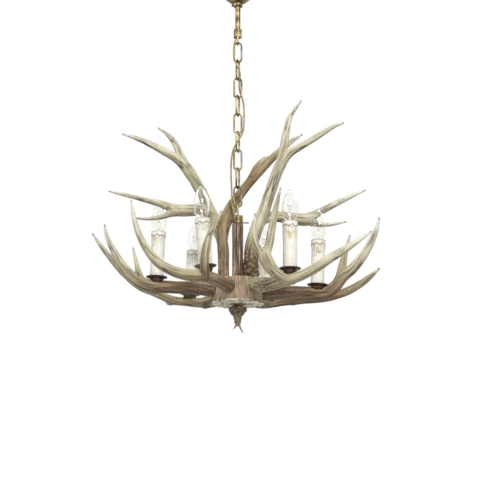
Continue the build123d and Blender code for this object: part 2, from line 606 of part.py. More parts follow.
def make_holder():
    body = cylinder(HOLDER_RADIUS, HOLDER_BOTTOM, HOLDER_TOP)
    body -= cylinder(NIPPLE_RADIUS + TURNING_FIT, HOLDER_BOTTOM - 1, HOLDER_BOTTOM + HOLDER_FLOOR / 2)
    return body - cylinder(CAP_RADIUS + TURNING_FIT, HOLDER_BOTTOM + HOLDER_FLOOR, HOLDER_TOP + 1)


def make_sleeve(turn):
    """A candle sleeve with wax drips of different lengths down its outside."""
    sleeve = cylinder(SLEEVE_RADIUS, SLEEVE_FOOT, SLEEVE_TOP)
    drips = 9
    for k in range(drips):
        angle = math.radians(turn + 360 * k / drips)
        length = 16 + 26 * abs(math.sin(2.4 * k + 0.7))
        x, y = (SLEEVE_RADIUS - 0.6) * math.cos(angle), (SLEEVE_RADIUS - 0.6) * math.sin(angle)
        sleeve += cylinder(DRIP_RADIUS, SLEEVE_TOP - length, SLEEVE_TOP - 1, x, y)
        sleeve += Pos(x, y, SLEEVE_TOP - length) * Sphere(DRIP_RADIUS * 1.15)
    return sleeve - cylinder(SLEEVE_BORE, SLEEVE_FOOT - 1, SLEEVE_TOP + 1)


def make_glass():
    shape = [(0.40, 0), (0.52, 0.03), (0.77, 0.11), (0.95, 0.24), (1.0, 0.37), (0.95, 0.53), (0.75, 0.70),
             (0.47, 0.85), (0.21, 0.95)]
    outline = [(GLASS_RADIUS * r, CAP_TOP + GLASS_LENGTH * h) for r, h in shape]
    tip = CAP_TOP + GLASS_LENGTH
    inner = offset_curve(outline, -GLASS_WALL)
    edges = Spline(*[(r, 0, z) for r, z in outline], (0, 0, tip), tangents=[(0.3, 0, 1), (-1, 0, 0.4)])
    hollow = Spline(*[(r, 0, z) for r, z in inner], (0, 0, tip - 2.5), tangents=[(0.3, 0, 1), (-1, 0, 0.4)])
    middle = Line((0, 0, tip), (0, 0, tip - 2.5))
    neck = Line((outline[0][0], 0, outline[0][1]), (inner[0][0], 0, inner[0][1]))
    return revolve(make_face([edges, middle, hollow, neck]), axis=Axis.Z)


def make_bulb_cap():
    bottom = HOLDER_BOTTOM + HOLDER_FLOOR + RUNNING_GAP
    shoulder = CAP_TOP - CAP_HEIGHT
    cap = cylinder(CAP_RADIUS, shoulder, CAP_TOP) + cylinder(CAP_RADIUS * 0.6, bottom, shoulder)
    return cap + cylinder(GLASS_RADIUS * 0.33, CAP_TOP, CAP_TOP + 2)


def make_bulb_stem():
    foot = CAP_TOP + 2
    return turned([(0, foot), (4.2, foot), (2, foot + 5), (1.5, foot + 14), (2.1, foot + 17), (2.1, foot + 19),
                   (0.8, foot + 21), (0.8, foot + 27), (0, foot + 27)])


# ------------------------------------------------------------------ antlers
def make_antler(bearing, limbs):
    """One antler: its beam and tines joined in one piece."""
    antler = None
    for points in limbs:
        placed = []
        for out, across, up, girth in points:
            x, y = at_bearing(bearing, out, across)
            placed.append((x, y, ARM_LEVEL + up, girth))
        piece = limb(placed)
        antler = piece if antler is None else antler + piece
    return antler


def main():
    os.makedirs("parts", exist_ok=True)
    save("ceiling_crossbar", make_crossbar())
    save("crossbar_nuts", [make_nut(-BAR_DROP), make_nut(BAR_UNDERSIDE - NUT_HEIGHT)])
    save("terminal_block", make_terminal())
    save("supply_lead", tube(LEAD_ROUTE, FLEX_RADIUS, "supply_lead"))
    save("stem_tube", make_stem())
    save("ceiling_canopy", make_canopy())
    save("canopy_collar", make_canopy_collar())
    save("canopy_set_screw", make_canopy_screw())
    save("stem_coupler", make_coupler())
    save("top_loop", make_eye(TOP_EYE_BAR_Z, COUPLER_BOTTOM, COUPLER_BORE - TURNING_FIT, TOP_EXIT_X, LINK_WIRE))

    for index in range(1, LINK_COUNT + 1):
        save("chain_link_" + str(index), make_link(index))
    save("flex_cord", tube(FLEX_ROUTE, FLEX_RADIUS, "flex_cord"))
    save("bottom_loop", make_eye(BOTTOM_EYE_BAR_Z, COLUMN_COLLAR_TOP, COLUMN_COLLAR_BORE - TURNING_FIT,
                                 BOTTOM_ENTRY_X, LINK_WIRE))

    save("column_collar", make_column_collar())
    save("column_lever", make_lever())
    save("centre_column", make_column())
    save("tie_pipe", make_pipe())
    stud_holes = stud_solids(STUD_RADIUS + LOOSE_FIT, extra=RUNNING_GAP)
    save("hub_block", make_hub(stud_holes))
    save("base_rosette", make_rosette())
    save("wire_connectors", make_connectors())
    save("finial", make_finial())
    save("antler_studs", stud_solids(STUD_RADIUS))

    seats = [candle_place(candle) * make_seat() for candle in CANDLES]
    hub_space = cylinder(HUB_RADIUS, HUB_BOTTOM - 30, HUB_TOP)
    column_space = cylinder(COLUMN_RADIUS + LOOSE_FIT, HUB_TOP - 30, COLUMN_TOP)
    for name, (bearing, limbs) in LOWER_ANTLERS.items():
        antler = make_antler(bearing, limbs) - hub_space
        number = [row[0] for row in CANDLES if row[1] == bearing][0]
        save(name, antler - seats[number - 1] - stud_holes[list(LOWER_ANTLERS).index(name)])
    for name, (bearing, limbs) in UPPER_ANTLERS.items():
        floor = Pos(0, 0, HUB_TOP - 50) * Box(300, 300, 100)
        antler = make_antler(bearing, limbs) - floor - column_space
        save(name, antler - stud_holes[len(LOWER_ANTLERS) + list(UPPER_ANTLERS).index(name)])

    places = [candle_place(candle) for candle in CANDLES]
    save("drip_pans", [place * make_pan() for place in places])
    save("candle_cups", [place * make_cup() for place in places])
    save("candle_nipples", [place * make_nipple() for place in places])
    save("lampholders", [place * make_holder() for place in places])
    save("candle_sleeves", [place * make_sleeve(70 * n) for n, place in enumerate(places)])
    for candle, place in zip(CANDLES, places):
        save("bulb_glass_" + str(candle[0]), place * make_glass())
        save("bulb_cap_" + str(candle[0]), [place * make_bulb_cap(), place * make_bulb_stem()])


main()
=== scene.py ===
import bpy
import bmesh
import math
import numpy as np
from mathutils import Matrix, Vector, noise


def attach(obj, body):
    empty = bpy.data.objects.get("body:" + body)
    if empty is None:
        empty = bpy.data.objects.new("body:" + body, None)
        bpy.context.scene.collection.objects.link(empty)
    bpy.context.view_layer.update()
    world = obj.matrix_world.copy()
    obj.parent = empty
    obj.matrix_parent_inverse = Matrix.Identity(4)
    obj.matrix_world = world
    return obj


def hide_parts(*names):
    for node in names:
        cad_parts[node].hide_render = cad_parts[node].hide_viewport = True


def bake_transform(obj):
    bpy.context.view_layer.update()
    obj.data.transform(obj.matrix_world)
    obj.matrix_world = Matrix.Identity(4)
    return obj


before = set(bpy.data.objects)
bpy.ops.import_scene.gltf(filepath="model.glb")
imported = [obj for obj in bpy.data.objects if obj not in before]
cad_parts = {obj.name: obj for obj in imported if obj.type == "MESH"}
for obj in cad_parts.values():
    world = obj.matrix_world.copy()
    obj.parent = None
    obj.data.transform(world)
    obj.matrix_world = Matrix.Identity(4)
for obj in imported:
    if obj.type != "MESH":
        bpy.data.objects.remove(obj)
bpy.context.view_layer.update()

# An antler chandelier: cast resin antlers round a hub, six candle lights, a chain with its
# flex, and a bell canopy. The frame is in metres; sizes below are in millimetres.
MM = 0.001

# ------------------------------------------------------------------ sizes, in millimetres
ARM_LEVEL = -742
HUB_TOP = -722
HUB_BOTTOM = -772
HUB_RADIUS = 54
COLUMN_TOP = -593.3
CANDLE_CIRCLE = 179
SLEEVE_RADIUS = 15
SLEEVE_BORE = 13.1
# heights of a candle's pieces over its pan's rim
SLEEVE_FOOT = -3.0
SLEEVE_TOP = 101
CAP_TOP = 101.9                        # the bulb's screw cap
CAP_RADIUS = 6.95
FLEX_DIAMETER = 4.0
CHAIN_LINKS = 9
LINK_PITCH = 42.9
FIRST_LINK = -187                      # height of the first link's middle

# number, bearing from the front towards +X, pan's rim over ARM_LEVEL, lean towards +X
CANDLES = [
    (1, -82.0, 23.0, 1.6),
    (2, 218.0, 18.0, 4.5),
    (3, -22.0, 17.0, -4.0),
    (4, 158.0, 18.0, -2.5),
    (5, 38.0, 17.0, 0.5),
    (6, 98.0, 16.0, 1.9),
]

# Each antler's bearing and the centre lines of its limbs, the main beam first. A point is how far
# out along the bearing, how far across to its right, how far over ARM_LEVEL, and the girth there.
ANTLERS = {
    "antler_lower_left": (-82.0, [
        [(44, 0, -2, 33), (58, 0, -2, 32), (101, 1, 0, 29.5), (161, 2, 1, 27.5),
         (198, 2, 3, 27.5), (224, 3, 15, 26), (244, 3, 32, 23), (262, 4, 56, 18.5),
         (278, 4, 84, 14), (290, 5, 110, 10), (296, 5, 137, 3.5)],
        [(212, 0, 8, 17), (220, 14, 30, 14), (227, 21, 55, 8.5), (234, 24, 83, 3)],
    ]),
    "antler_lower_back_left": (218.0, [
        [(44, 0, -10, 33), (58, 1, -10, 33), (88, 4, -12, 31), (118, 6, -13, 24.5),
         (179, 4, -2, 20.5), (212, 28, 6, 19.5), (236, 59, 23, 20), (249, 92, 36, 20.5),
         (260, 124, 61, 19.5), (269, 157, 93, 15), (276, 184, 124, 10.5), (281, 205, 151, 3.5)],
        [(204, 20, 3, 17), (236, 16, 5, 15), (264, 5, 13, 11), (292, -8, 26, 3.5)],
        [(104, 5, -12, 22), (98, 14, -19, 21), (94, 20, -23.5, 19)],
    ]),
    "antler_lower_front_left": (-22.0, [
        [(44, 0, -2, 29), (58, 1, -2, 28), (112, 3, -4, 26.5), (181, 4, -6, 25),
         (211, -21, -8, 24), (231, -50, -1, 22.5), (243, -77, 16, 20.5), (249, -99, 42, 17.5),
         (250, -118, 75, 14.5), (248, -133, 114, 10.5), (242, -145, 159, 3)],
        [(192, 5, -8, 19.5), (214, 13, 17, 19.5), (217, 18, 47, 17.5), (213, 24, 73, 13.5),
         (205, 34, 102, 9), (196, 44, 128, 3)],
        [(248, -92, 32, 11.5), (238, -110, 58, 7.5), (231, -132, 98, 2.5)],
    ]),
    "antler_lower_back_right": (158.0, [
        [(44, 0, -12, 29), (58, -1, -12, 28), (114, -5, -11, 24), (182, -2, 0, 21),
         (210, -34, 8, 20), (228, -77, 13, 22), (239, -123, 16, 21), (247, -162, 25, 20.5),
         (250, -198, 40, 18.5), (252, -229, 60, 13), (253, -253, 79, 3.5)],
        [(222, -50, 9, 17), (245, -59, 14, 15), (266, -59, 24, 10.5), (286, -54, 36, 3.5)],
    ]),
    "antler_lower_front_right": (38.0, [
        [(44, 4, 1, 37), (57, 5, 1, 38), (68, 5, 0, 34), (80, 4, -2, 31), (118, 1, -6, 28.5),
         (179, -4, -7, 24.5), (204, 9, -2, 22), (226, 29, 13, 21), (245, 54, 34, 19),
         (262, 82, 55, 16), (276, 109, 76, 10.5), (289, 135, 97, 3)],
        [(180, -2, -10, 23), (168, -32, 4, 27), (164, -50, 28, 28), (162, -57, 45, 24.5)],
        [(163, -51, 36, 16), (159, -70, 57, 12.5), (158, -77, 86, 9), (158, -77, 129, 3)],
        [(163, -55, 37, 18), (167, -46, 65, 18), (167, -40, 96, 17), (168, -32, 132, 14),
         (169, -24, 164, 9.5), (171, -17, 193, 3)],
    ]),
    "antler_lower_right": (98.0, [
        [(44, 0, -7, 33), (58, -1, -7, 32.5), (105, -2, -5, 32), (150, -1, -5, 31),
         (189, -1, -4, 29), (215, -8, 9, 26.5), (234, -15, 32, 25.5), (256, -22, 51, 23.5),
         (277, -29, 78, 20), (295, -34, 109, 16.5), (307, -38, 138, 10.5), (314, -40, 166, 3.5)],
        [(226, -13, 24, 20), (235, -6, 59, 18), (245, -1, 97, 11), (256, 2, 134, 3)],
    ]),
    "antler_upper_left": (-85.0, [
        [(28, -36, 12, 24), (28, -36, 44, 24), (28, -38, 93, 24.5), (34, -41, 126, 26),
         (47, -42, 154, 27), (61, -35, 184, 29.5), (75, -25, 216, 26), (95, -16, 251, 25),
         (116, -12, 282, 23)],
        [(104, -13, 264, 21), (134, -8, 297, 20.5), (169, -2, 316, 18), (205, -1, 333, 14),
         (236, -1, 345, 9), (262, -1, 352, 3)],
        [(108, -12, 270, 20.5), (126, -16, 304, 19), (139, -18, 335, 15.5),
         (157, -25, 361, 10.5), (181, -31, 379, 3)],
        [(58, -36, 180, 24), (91, -8, 180, 27), (128, 23, 171, 27.5), (155, 38, 168, 24)],
        [(142, 34, 171, 21), (175, 43, 180, 15.5), (217, 48, 189, 12), (254, 52, 196, 8.5),
         (289, 53, 203, 3)],
        [(144, 35, 164, 18.5), (172, 43, 150, 11), (201, 48, 144, 8), (228, 50, 144, 4)],
    ]),
    "antler_upper_right": (80.0, [
        [(26, 14, 12, 35), (26, 14, 40, 35), (27, 12, 63, 33.5), (31, 8, 101, 30),
         (43, 5, 139, 28), (58, 4, 175, 26.5), (73, 3, 218, 25), (89, 1, 263, 24.5),
         (102, 0, 294, 22)],
        [(97, 1, 282, 21.5), (105, 2, 325, 18.5), (111, 5, 364, 16), (120, 9, 400, 12),
         (145, 16, 436, 3)],
        [(94, 1, 274, 20), (118, -2, 306, 19), (147, -5, 322, 16.5), (183, -6, 342, 14),
         (215, -7, 360, 10), (243, -6, 370, 3)],
        [(47, 5, 152, 23), (69, 24, 168, 24.5), (100, 48, 171, 26), (135, 73, 171, 28.5),
         (154, 84, 174, 24)],
        [(142, 77, 174, 21.5), (171, 94, 192, 17), (203, 105, 211, 15), (239, 115, 230, 10.5),
         (277, 124, 248, 3)],
        [(143, 78, 170, 19.5), (173, 95, 163, 11.5), (202, 107, 166, 8), (233, 116, 173, 3)],
    ]),
    "antler_upper_back": (150.0, [
        [(-11, 30, 12, 24.5), (-11, 30, 38, 24.5), (-11, 31, 79, 24.5), (-10, 33, 119, 25),
         (0, 32, 157, 29), (20, 28, 194, 27), (41, 21, 225, 21.5), (67, 9, 261, 20.5),
         (101, -6, 301, 19.5), (139, -25, 346, 17), (177, -42, 382, 12), (207, -59, 407, 3.5)],
        [(72, 5, 271, 19.5), (101, 6, 305, 19.5), (142, 14, 333, 16.5), (182, 25, 355, 10.5),
         (205, 35, 364, 3.5)],
        [(8, 33, 160, 22), (46, 50, 189, 20.5), (82, 67, 209, 18.5), (118, 85, 224, 13),
         (147, 101, 233, 3.5)],
    ]),
}

# The flex's route, woven down beside the chain.
FLEX_ROUTE = [
    (-4.4, 0, -146), (-4.4, 0, -154.5), (-8.6, -5.4, -167), (-9.8, -6.2, -186),
    (-8.6, -8.6, -204), (-4.5, -13.2, -219), (2, -13.8, -231), (6, -10.4, -244),
    (3.6, -3.6, -258), (2.9, 3.4, -270), (5.6, 8.2, -283), (10.8, 7, -297), (13.6, 2.4, -313),
    (14.3, -0.4, -334), (14.4, -1, -358), (12.6, -4.8, -378), (7, -11.6, -392),
    (-0.8, -14.6, -406), (-8.4, -10.8, -419), (-13.2, -5.2, -434), (-15.2, -1.2, -454),
    (-15.4, 0.8, -480), (-14, 0.6, -506), (-13.6, 0, -530), (-13.3, 0, -548), (-9.3, 0, -561),
    (-7.2, 0, -571), (-7.2, 0, -581),
]

# ------------------------------------------------------------------ camera, floor and light
WORLD_LIGHT = 0.32
FLOOR_GLOW = 0.4                       # what the camera, metal and glass see more than it reflects
FLOOR_REACH = 40                       # in metres, as the next two
FLOOR_LEVEL = -2.1
CAMERA_DISTANCE = 3.0
CAMERA_AIM = Vector((5, 0, -630)) * MM
CAMERA_PITCH = math.radians(13.5)      # the camera looks up at the lamp
CAMERA_LENS = 101.25                   # in millimetres, on a sensor 36 mm wide
# name, place and side in metres, and power in watts
STUDIO_LAMPS = [
    ("key", (0.6, -2.5, 0.9), 0.9, 58),
    ("left", (-2.2, -0.9, 0.7), 1.2, 15),
    ("back", (0.6, 2.2, 0.9), 1.4, 13),
]
LAMPS_AIM = (0, 0, -0.6)

camera = bpy.data.objects.new("camera", bpy.data.cameras.new("camera"))
camera.data.lens = CAMERA_LENS
camera.data.sensor_width = 36
look = Vector((0, math.cos(CAMERA_PITCH), math.sin(CAMERA_PITCH)))
camera.location = CAMERA_AIM - look * CAMERA_DISTANCE
camera.rotation_euler = (math.pi / 2 + CAMERA_PITCH, 0, 0)
bpy.context.scene.collection.objects.link(camera)
bpy.context.scene.camera = camera
bpy.context.scene.view_settings.view_transform = "Standard"


def colour(hex_code):
    """An sRGB hex colour as the linear values that the shaders take, fully opaque."""
    channels = [int(hex_code[i:i + 2], 16) / 255 for i in (1, 3, 5)]
    linear = [c / 12.92 if c <= 0.04045 else ((c + 0.055) / 1.055) ** 2.4 for c in channels]
    return (*linear, 1.0)


def add_node(owner, kind, inputs=None, stops=None, **settings):
    """Adds one shader node. Inputs are values or the sockets to link from, and the stops of
    a colour ramp are (position, hex colour)."""
    node = owner.node_tree.nodes.new(kind)
    for key, value in settings.items():
        setattr(node, key, value)
    for key, value in (inputs or {}).items():
        if isinstance(value, bpy.types.NodeSocket):
            owner.node_tree.links.new(value, node.inputs[key])
        else:
            node.inputs[key].default_value = value
    if stops:
        elements = node.color_ramp.elements
        while len(elements) < len(stops):
            elements.new(0.5)
        for element, (position, hex_code) in zip(elements, stops):
            element.position = position
            element.color = colour(hex_code)
    return node


def new_material(name):
    """A material with an empty node tree."""
    material = bpy.data.materials.new(name)
    material.use_nodes = True
    material.node_tree.nodes.clear()
    return material


def finish_material(material, shader):
    """Links the last shader to the material's output."""
    add_node(material, "ShaderNodeOutputMaterial", {"Surface": shader})
    return material


def seen_ray(owner):
    """1 for the rays that the camera, glass and metal see the surroundings with, else 0."""
    path = add_node(owner, "ShaderNodeLightPath")
    seen = path.outputs["Is Camera Ray"]
    for other in ("Is Transmission Ray", "Is Glossy Ray"):
        either = add_node(owner, "ShaderNodeMath", {0: seen, 1: path.outputs[other]},
                          operation="MAXIMUM")
        seen = either.outputs[0]
    return seen


def studio_world():
    """White to the camera, in metal and through glass, and a plain soft grey as light."""
    world = bpy.data.worlds.new("studio")
    world.use_nodes = True
    world.node_tree.nodes.clear()
    light = add_node(world, "ShaderNodeBackground",
                     {"Color": colour("#ffffff"), "Strength": WORLD_LIGHT})
    white = add_node(world, "ShaderNodeBackground", {"Color": colour("#ffffff"), "Strength": 1.0})
    mix = add_node(world, "ShaderNodeMixShader",
                   {0: seen_ray(world), 1: light.outputs[0], 2: white.outputs[0]})
    add_node(world, "ShaderNodeOutputWorld", {"Surface": mix.outputs[0]})
    bpy.context.scene.world = world


def area_lamp(name, place, size, power):
    """A soft square lamp that looks at the middle of the chandelier."""
    lamp = bpy.data.objects.new(name, bpy.data.lights.new(name, "AREA"))
    lamp.data.size = size
    lamp.data.energy = power
    lamp.location = place
    lamp.rotation_euler = (Vector(LAMPS_AIM) - Vector(place)).to_track_quat("-Z", "Y").to_euler()
    bpy.context.scene.collection.objects.link(lamp)


def studio_floor():
    """A wide, matt floor under the chandelier, as pale to the camera as the background."""
    mesh = bpy.data.meshes.new("floor")
    far = FLOOR_REACH
    corners = [(-far, -far, 0), (far, -far, 0), (far, far, 0), (-far, far, 0)]
    mesh.from_pydata(corners, [], [(0, 1, 2, 3)])
    floor = bpy.data.objects.new("floor", mesh)
    floor.location = (0, 0, FLOOR_LEVEL)
    bpy.context.scene.collection.objects.link(floor)
    paint = new_material("matt_white_floor_paint")
    glow = add_node(paint, "ShaderNodeMath", {0: seen_ray(paint), 1: FLOOR_GLOW},
                    operation="MULTIPLY")
    shader = add_node(paint, "ShaderNodeBsdfPrincipled",
                      {"Base Color": colour("#f4f3f0"), "Roughness": 0.9,
                       "Emission Color": colour("#ffffff"), "Emission Strength": glow.outputs[0]})
    mesh.materials.append(finish_material(paint, shader.outputs[0]))


studio_world()
studio_floor()
for lamp in STUDIO_LAMPS:
    area_lamp(*lamp)

# ------------------------------------------------------------------ materials


def antler_resin():
    """Cast polyester resin, stained and dry-brushed as old antler: umber at the root, straw
    and olive on the beam, ivory to the tips, with stain left in the furrows and pale ridges
    where the brush caught. The furrow stain also carries painted shade under the limbs, and
    the pale ridges a painted highlight on what faces up. The last few millimetres of each
    point are grey."""
    material = new_material("cast_resin_antler")
    # what the carving has stored at each point of the mesh
    carved = {}
    for name in ("age", "furrow", "ridge", "point", "streak"):
        attribute = add_node(material, "ShaderNodeAttribute", attribute_name=name)
        carved[name] = attribute.outputs["Fac"]
    place = add_node(material, "ShaderNodeTexCoord")
    # cloudy changes of tint, 30 mm across
    cloud = add_node(material, "ShaderNodeTexNoise",
                     {"Vector": place.outputs["Object"], "Scale": 1 / (30 * MM), "Detail": 3.0,
                      "Roughness": 0.55})
    # a fine grain, 3 mm across, that roughens the streaks' edges and the surface
    fleck = add_node(material, "ShaderNodeTexNoise",
                     {"Vector": place.outputs["Object"], "Scale": 1 / (3 * MM), "Detail": 3.0})
    broken = add_node(material, "ShaderNodeMath",
                      {0: fleck.outputs["Fac"], 1: 0.25, 2: carved["streak"]},
                      operation="MULTIPLY_ADD")
    # the tint goes by age, and the clouds shift it by up to 0.18 either way
    shifted = add_node(material, "ShaderNodeMath",
                       {0: cloud.outputs["Fac"], 1: 0.36, 2: carved["age"]},
                       operation="MULTIPLY_ADD")
    centred = add_node(material, "ShaderNodeMath", {0: shifted.outputs[0], 1: 0.18},
                       operation="SUBTRACT")
    base = add_node(material, "ShaderNodeValToRGB", {"Fac": centred.outputs[0]},
                    stops=[(0.0, "#462c16"), (0.2, "#7a5c3d"), (0.42, "#b1a47b"),
                           (0.62, "#d8d1ae"), (0.82, "#ebe8d4"), (0.96, "#f0efe4")])
    # olive patches, fainter where the tint is dark
    patches = add_node(material, "ShaderNodeMapRange",
                       {"Value": cloud.outputs["Fac"], "From Min": 0.5, "From Max": 0.66,
                        "To Max": 0.75})
    olive = add_node(material, "ShaderNodeMath", {0: patches.outputs[0], 1: carved["age"]},
                     operation="MULTIPLY")
    streaky = add_node(material, "ShaderNodeMapRange",
                       {"Value": broken.outputs[0], "From Min": 0.06, "From Max": 0.52,
                        "To Max": 0.8})
    # between the streaks the brush left the brown roots paler
    bare = add_node(material, "ShaderNodeMapRange",
                    {"Value": broken.outputs[0], "From Min": -0.22, "From Max": 0.1,
                     "To Min": 0.48, "To Max": 0.0})
    brown = add_node(material, "ShaderNodeMapRange",
                     {"Value": carved["age"], "From Min": 0.25, "From Max": 0.6,
                      "To Min": 1.0, "To Max": 0.0})
    paler = add_node(material, "ShaderNodeMath", {0: bare.outputs[0], 1: brown.outputs[0]},
                     operation="MULTIPLY")
    # the stain in the furrows, together with the painted shade under the limbs
    stain_and_painted_shade = add_node(material, "ShaderNodeMath", {0: carved["furrow"], 1: 0.85},
                     operation="MULTIPLY")
    # the coats over the base tint, from the first to the last: how much of each, and its colour.
    # The dark stain coat is also painted shade under the limbs, and the ivory ridge coat is also
    # a painted highlight on what faces up.
    tint = base.outputs[0]
    for amount, hex_code in ((olive.outputs[0], "#a9a577"), (streaky.outputs[0], "#7d654a"),
                             (paler.outputs[0], "#bda983"), (stain_and_painted_shade.outputs[0], "#4e3d2a"),
                             (carved["ridge"], "#efece0"), (carved["point"], "#6a6562")):
        coat = add_node(material, "ShaderNodeMix", {0: amount, 6: tint, 7: colour(hex_code)},
                        data_type="RGBA")
        tint = coat.outputs[2]
    bump = add_node(material, "ShaderNodeBump",
                    {"Height": fleck.outputs["Fac"], "Strength": 0.35, "Distance": 0.6 * MM})
    shader = add_node(material, "ShaderNodeBsdfPrincipled",
                      {"Base Color": tint, "Roughness": 0.55, "Specular IOR Level": 0.3,
                       "Normal": bump.outputs[0]})
    return finish_material(material, shader.outputs[0])


def pearled_resin(name, ridge, mid, hollow, lichen):
    """The same cast resin on the rough pieces: pale on the beads, dark between them, with
    patches 14 mm across where the paint imitates lichen, and dark specks 2.5 mm across."""
    material = new_material(name)
    furrow = add_node(material, "ShaderNodeAttribute", attribute_name="furrow")
    place = add_node(material, "ShaderNodeTexCoord")
    patch = add_node(material, "ShaderNodeTexNoise",
                     {"Vector": place.outputs["Object"], "Scale": 1 / (14 * MM), "Detail": 4.0})
    speck = add_node(material, "ShaderNodeTexNoise",
                     {"Vector": place.outputs["Object"], "Scale": 1 / (2.5 * MM), "Detail": 3.0})
    base = add_node(material, "ShaderNodeValToRGB", {"Fac": furrow.outputs["Fac"]},
                    stops=[(0.0, ridge), (0.35, mid), (0.85, hollow)])
    green = add_node(material, "ShaderNodeMapRange",
                     {"Value": patch.outputs["Fac"], "From Min": 0.5, "From Max": 0.66,
                      "To Max": 0.6})
    patched = add_node(material, "ShaderNodeMix",
                       {0: green.outputs[0], 6: base.outputs[0], 7: colour(lichen)},
                       data_type="RGBA")
    dark = add_node(material, "ShaderNodeMapRange",
                    {"Value": speck.outputs["Fac"], "From Min": 0.55, "From Max": 0.75,
                     "To Max": 0.5})
    specked = add_node(material, "ShaderNodeMix",
                       {0: dark.outputs[0], 6: patched.outputs[2], 7: colour(hollow)},
                       data_type="RGBA")
    bump = add_node(material, "ShaderNodeBump",
                    {"Height": speck.outputs["Fac"], "Strength": 0.4, "Distance": 0.5 * MM})
    shader = add_node(material, "ShaderNodeBsdfPrincipled",
                      {"Base Color": specked.outputs[2], "Roughness": 0.62, "IOR": 1.5,
                       "Normal": bump.outputs[0]})
    return finish_material(material, shader.outputs[0])


def antiqued_brass():
    """Brass plate, darkened by a chemical and rubbed back: gold where it is worn, brown
    patches 22 mm across, and a soft, uneven gloss."""
    material = new_material("antiqued_brass")
    place = add_node(material, "ShaderNodeTexCoord")
    patina = add_node(material, "ShaderNodeTexNoise",
                      {"Vector": place.outputs["Object"], "Scale": 1 / (22 * MM), "Detail": 4.0,
                       "Roughness": 0.5})
    tint = add_node(material, "ShaderNodeValToRGB", {"Fac": patina.outputs["Fac"]},
                    stops=[(0.34, "#4a4030"), (0.5, "#7f7151"), (0.68, "#a5976d")])
    gloss = add_node(material, "ShaderNodeMapRange",
                     {"Value": patina.outputs["Fac"], "From Min": 0.35, "From Max": 0.7,
                      "To Min": 0.5, "To Max": 0.34})
    shader = add_node(material, "ShaderNodeBsdfPrincipled",
                      {"Base Color": tint.outputs[0], "Metallic": 1.0,
                       "Roughness": gloss.outputs[0]})
    return finish_material(material, shader.outputs[0])


def bronzed_steel():
    """Pressed steel with a dark bronze lacquer: nearly black brown, coppery where the
    lacquer is thin, and satin."""
    material = new_material("bronze_lacquered_steel")
    place = add_node(material, "ShaderNodeTexCoord")
    thin = add_node(material, "ShaderNodeTexNoise",
                    {"Vector": place.outputs["Object"], "Scale": 1 / (9 * MM), "Detail": 5.0})
    tint = add_node(material, "ShaderNodeValToRGB", {"Fac": thin.outputs["Fac"]},
                    stops=[(0.4, "#33251c"), (0.58, "#4d382b"), (0.72, "#7a5d45")])
    shader = add_node(material, "ShaderNodeBsdfPrincipled",
                      {"Base Color": tint.outputs[0], "Metallic": 0.35, "Roughness": 0.42})
    return finish_material(material, shader.outputs[0])


def candle_card():
    """A moulded candle sleeve under a cream lacquer, with a brown glaze wiped into the
    edges of its wax drips."""
    material = new_material("cream_candle_sleeve")
    glaze = add_node(material, "ShaderNodeAttribute", attribute_name="furrow")
    place = add_node(material, "ShaderNodeTexCoord")
    # yellowed patches 18 mm across
    patch = add_node(material, "ShaderNodeTexNoise",
                     {"Vector": place.outputs["Object"], "Scale": 1 / (18 * MM), "Detail": 3.0})
    base = add_node(material, "ShaderNodeValToRGB", {"Fac": patch.outputs["Fac"]},
                    stops=[(0.42, "#fcfbf2"), (0.58, "#f8f4e4"), (0.72, "#dcc995")])
    glazed = add_node(material, "ShaderNodeMix",
                      {0: glaze.outputs["Fac"], 6: base.outputs[0], 7: colour("#5d4a2c")},
                      data_type="RGBA")
    shader = add_node(material, "ShaderNodeBsdfPrincipled",
                      {"Base Color": glazed.outputs[2], "Roughness": 0.38, "IOR": 1.45,
                       "Subsurface Weight": 0.12,
                       "Subsurface Radius": (4 * MM, 3 * MM, 2 * MM)})
    return finish_material(material, shader.outputs[0])


def clear_glass():
    """Thin blown lamp glass, clear and fully smooth."""
    material = new_material("clear_lamp_glass")
    shader = add_node(material, "ShaderNodeBsdfPrincipled",
                      {"Base Color": colour("#fbfbf8"), "Roughness": 0.0, "IOR": 1.46,
                       "Transmission Weight": 1.0})
    return finish_material(material, shader.outputs[0])


def worn_metal(name, dull, bright, roughness, grain_mm):
    """A plain plated metal with fine uneven tarnish."""
    material = new_material(name)
    place = add_node(material, "ShaderNodeTexCoord")
    tarnish = add_node(material, "ShaderNodeTexNoise",
                       {"Vector": place.outputs["Object"], "Scale": 1 / (grain_mm * MM),
                        "Detail": 4.0})
    tint = add_node(material, "ShaderNodeValToRGB", {"Fac": tarnish.outputs["Fac"]},
                    stops=[(0.35, dull), (0.65, bright)])
    shader = add_node(material, "ShaderNodeBsdfPrincipled",
                      {"Base Color": tint.outputs[0], "Metallic": 1.0, "Roughness": roughness})
    return finish_material(material, shader.outputs[0])


def moulded_plastic(name, dull, bright, roughness, grain_mm):
    """Moulded plastic, evenly coloured but for a faint mottle."""
    material = new_material(name)
    place = add_node(material, "ShaderNodeTexCoord")
    mottle = add_node(material, "ShaderNodeTexNoise",
                      {"Vector": place.outputs["Object"], "Scale": 1 / (grain_mm * MM),
                       "Detail": 2.0})
    tint = add_node(material, "ShaderNodeValToRGB", {"Fac": mottle.outputs["Fac"]},
                    stops=[(0.35, dull), (0.65, bright)])
    shader = add_node(material, "ShaderNodeBsdfPrincipled",
                      {"Base Color": tint.outputs[0], "Roughness": roughness, "IOR": 1.5})
    return finish_material(material, shader.outputs[0])


ANTLER = antler_resin()
# the colours of the beads, of what is between, of the hollows and of the patches
PEARLED = pearled_resin("pearled_resin_rosette", "#f8f4e8", "#e4dbc6", "#8a7a62", "#cfcfb3")
HUB = pearled_resin("striated_resin_hub", "#c6ae92", "#ad9478", "#735c45", "#b8a78d")
FINIAL = pearled_resin("pearled_resin_finial", "#a8997a", "#85745a", "#463829", "#96946c")
COLUMN = pearled_resin("stained_resin_column", "#cdb898", "#8c755b", "#3f2f21", "#87725a")
BRASS = antiqued_brass()
BRONZE = bronzed_steel()
WAX = candle_card()
GLASS = clear_glass()
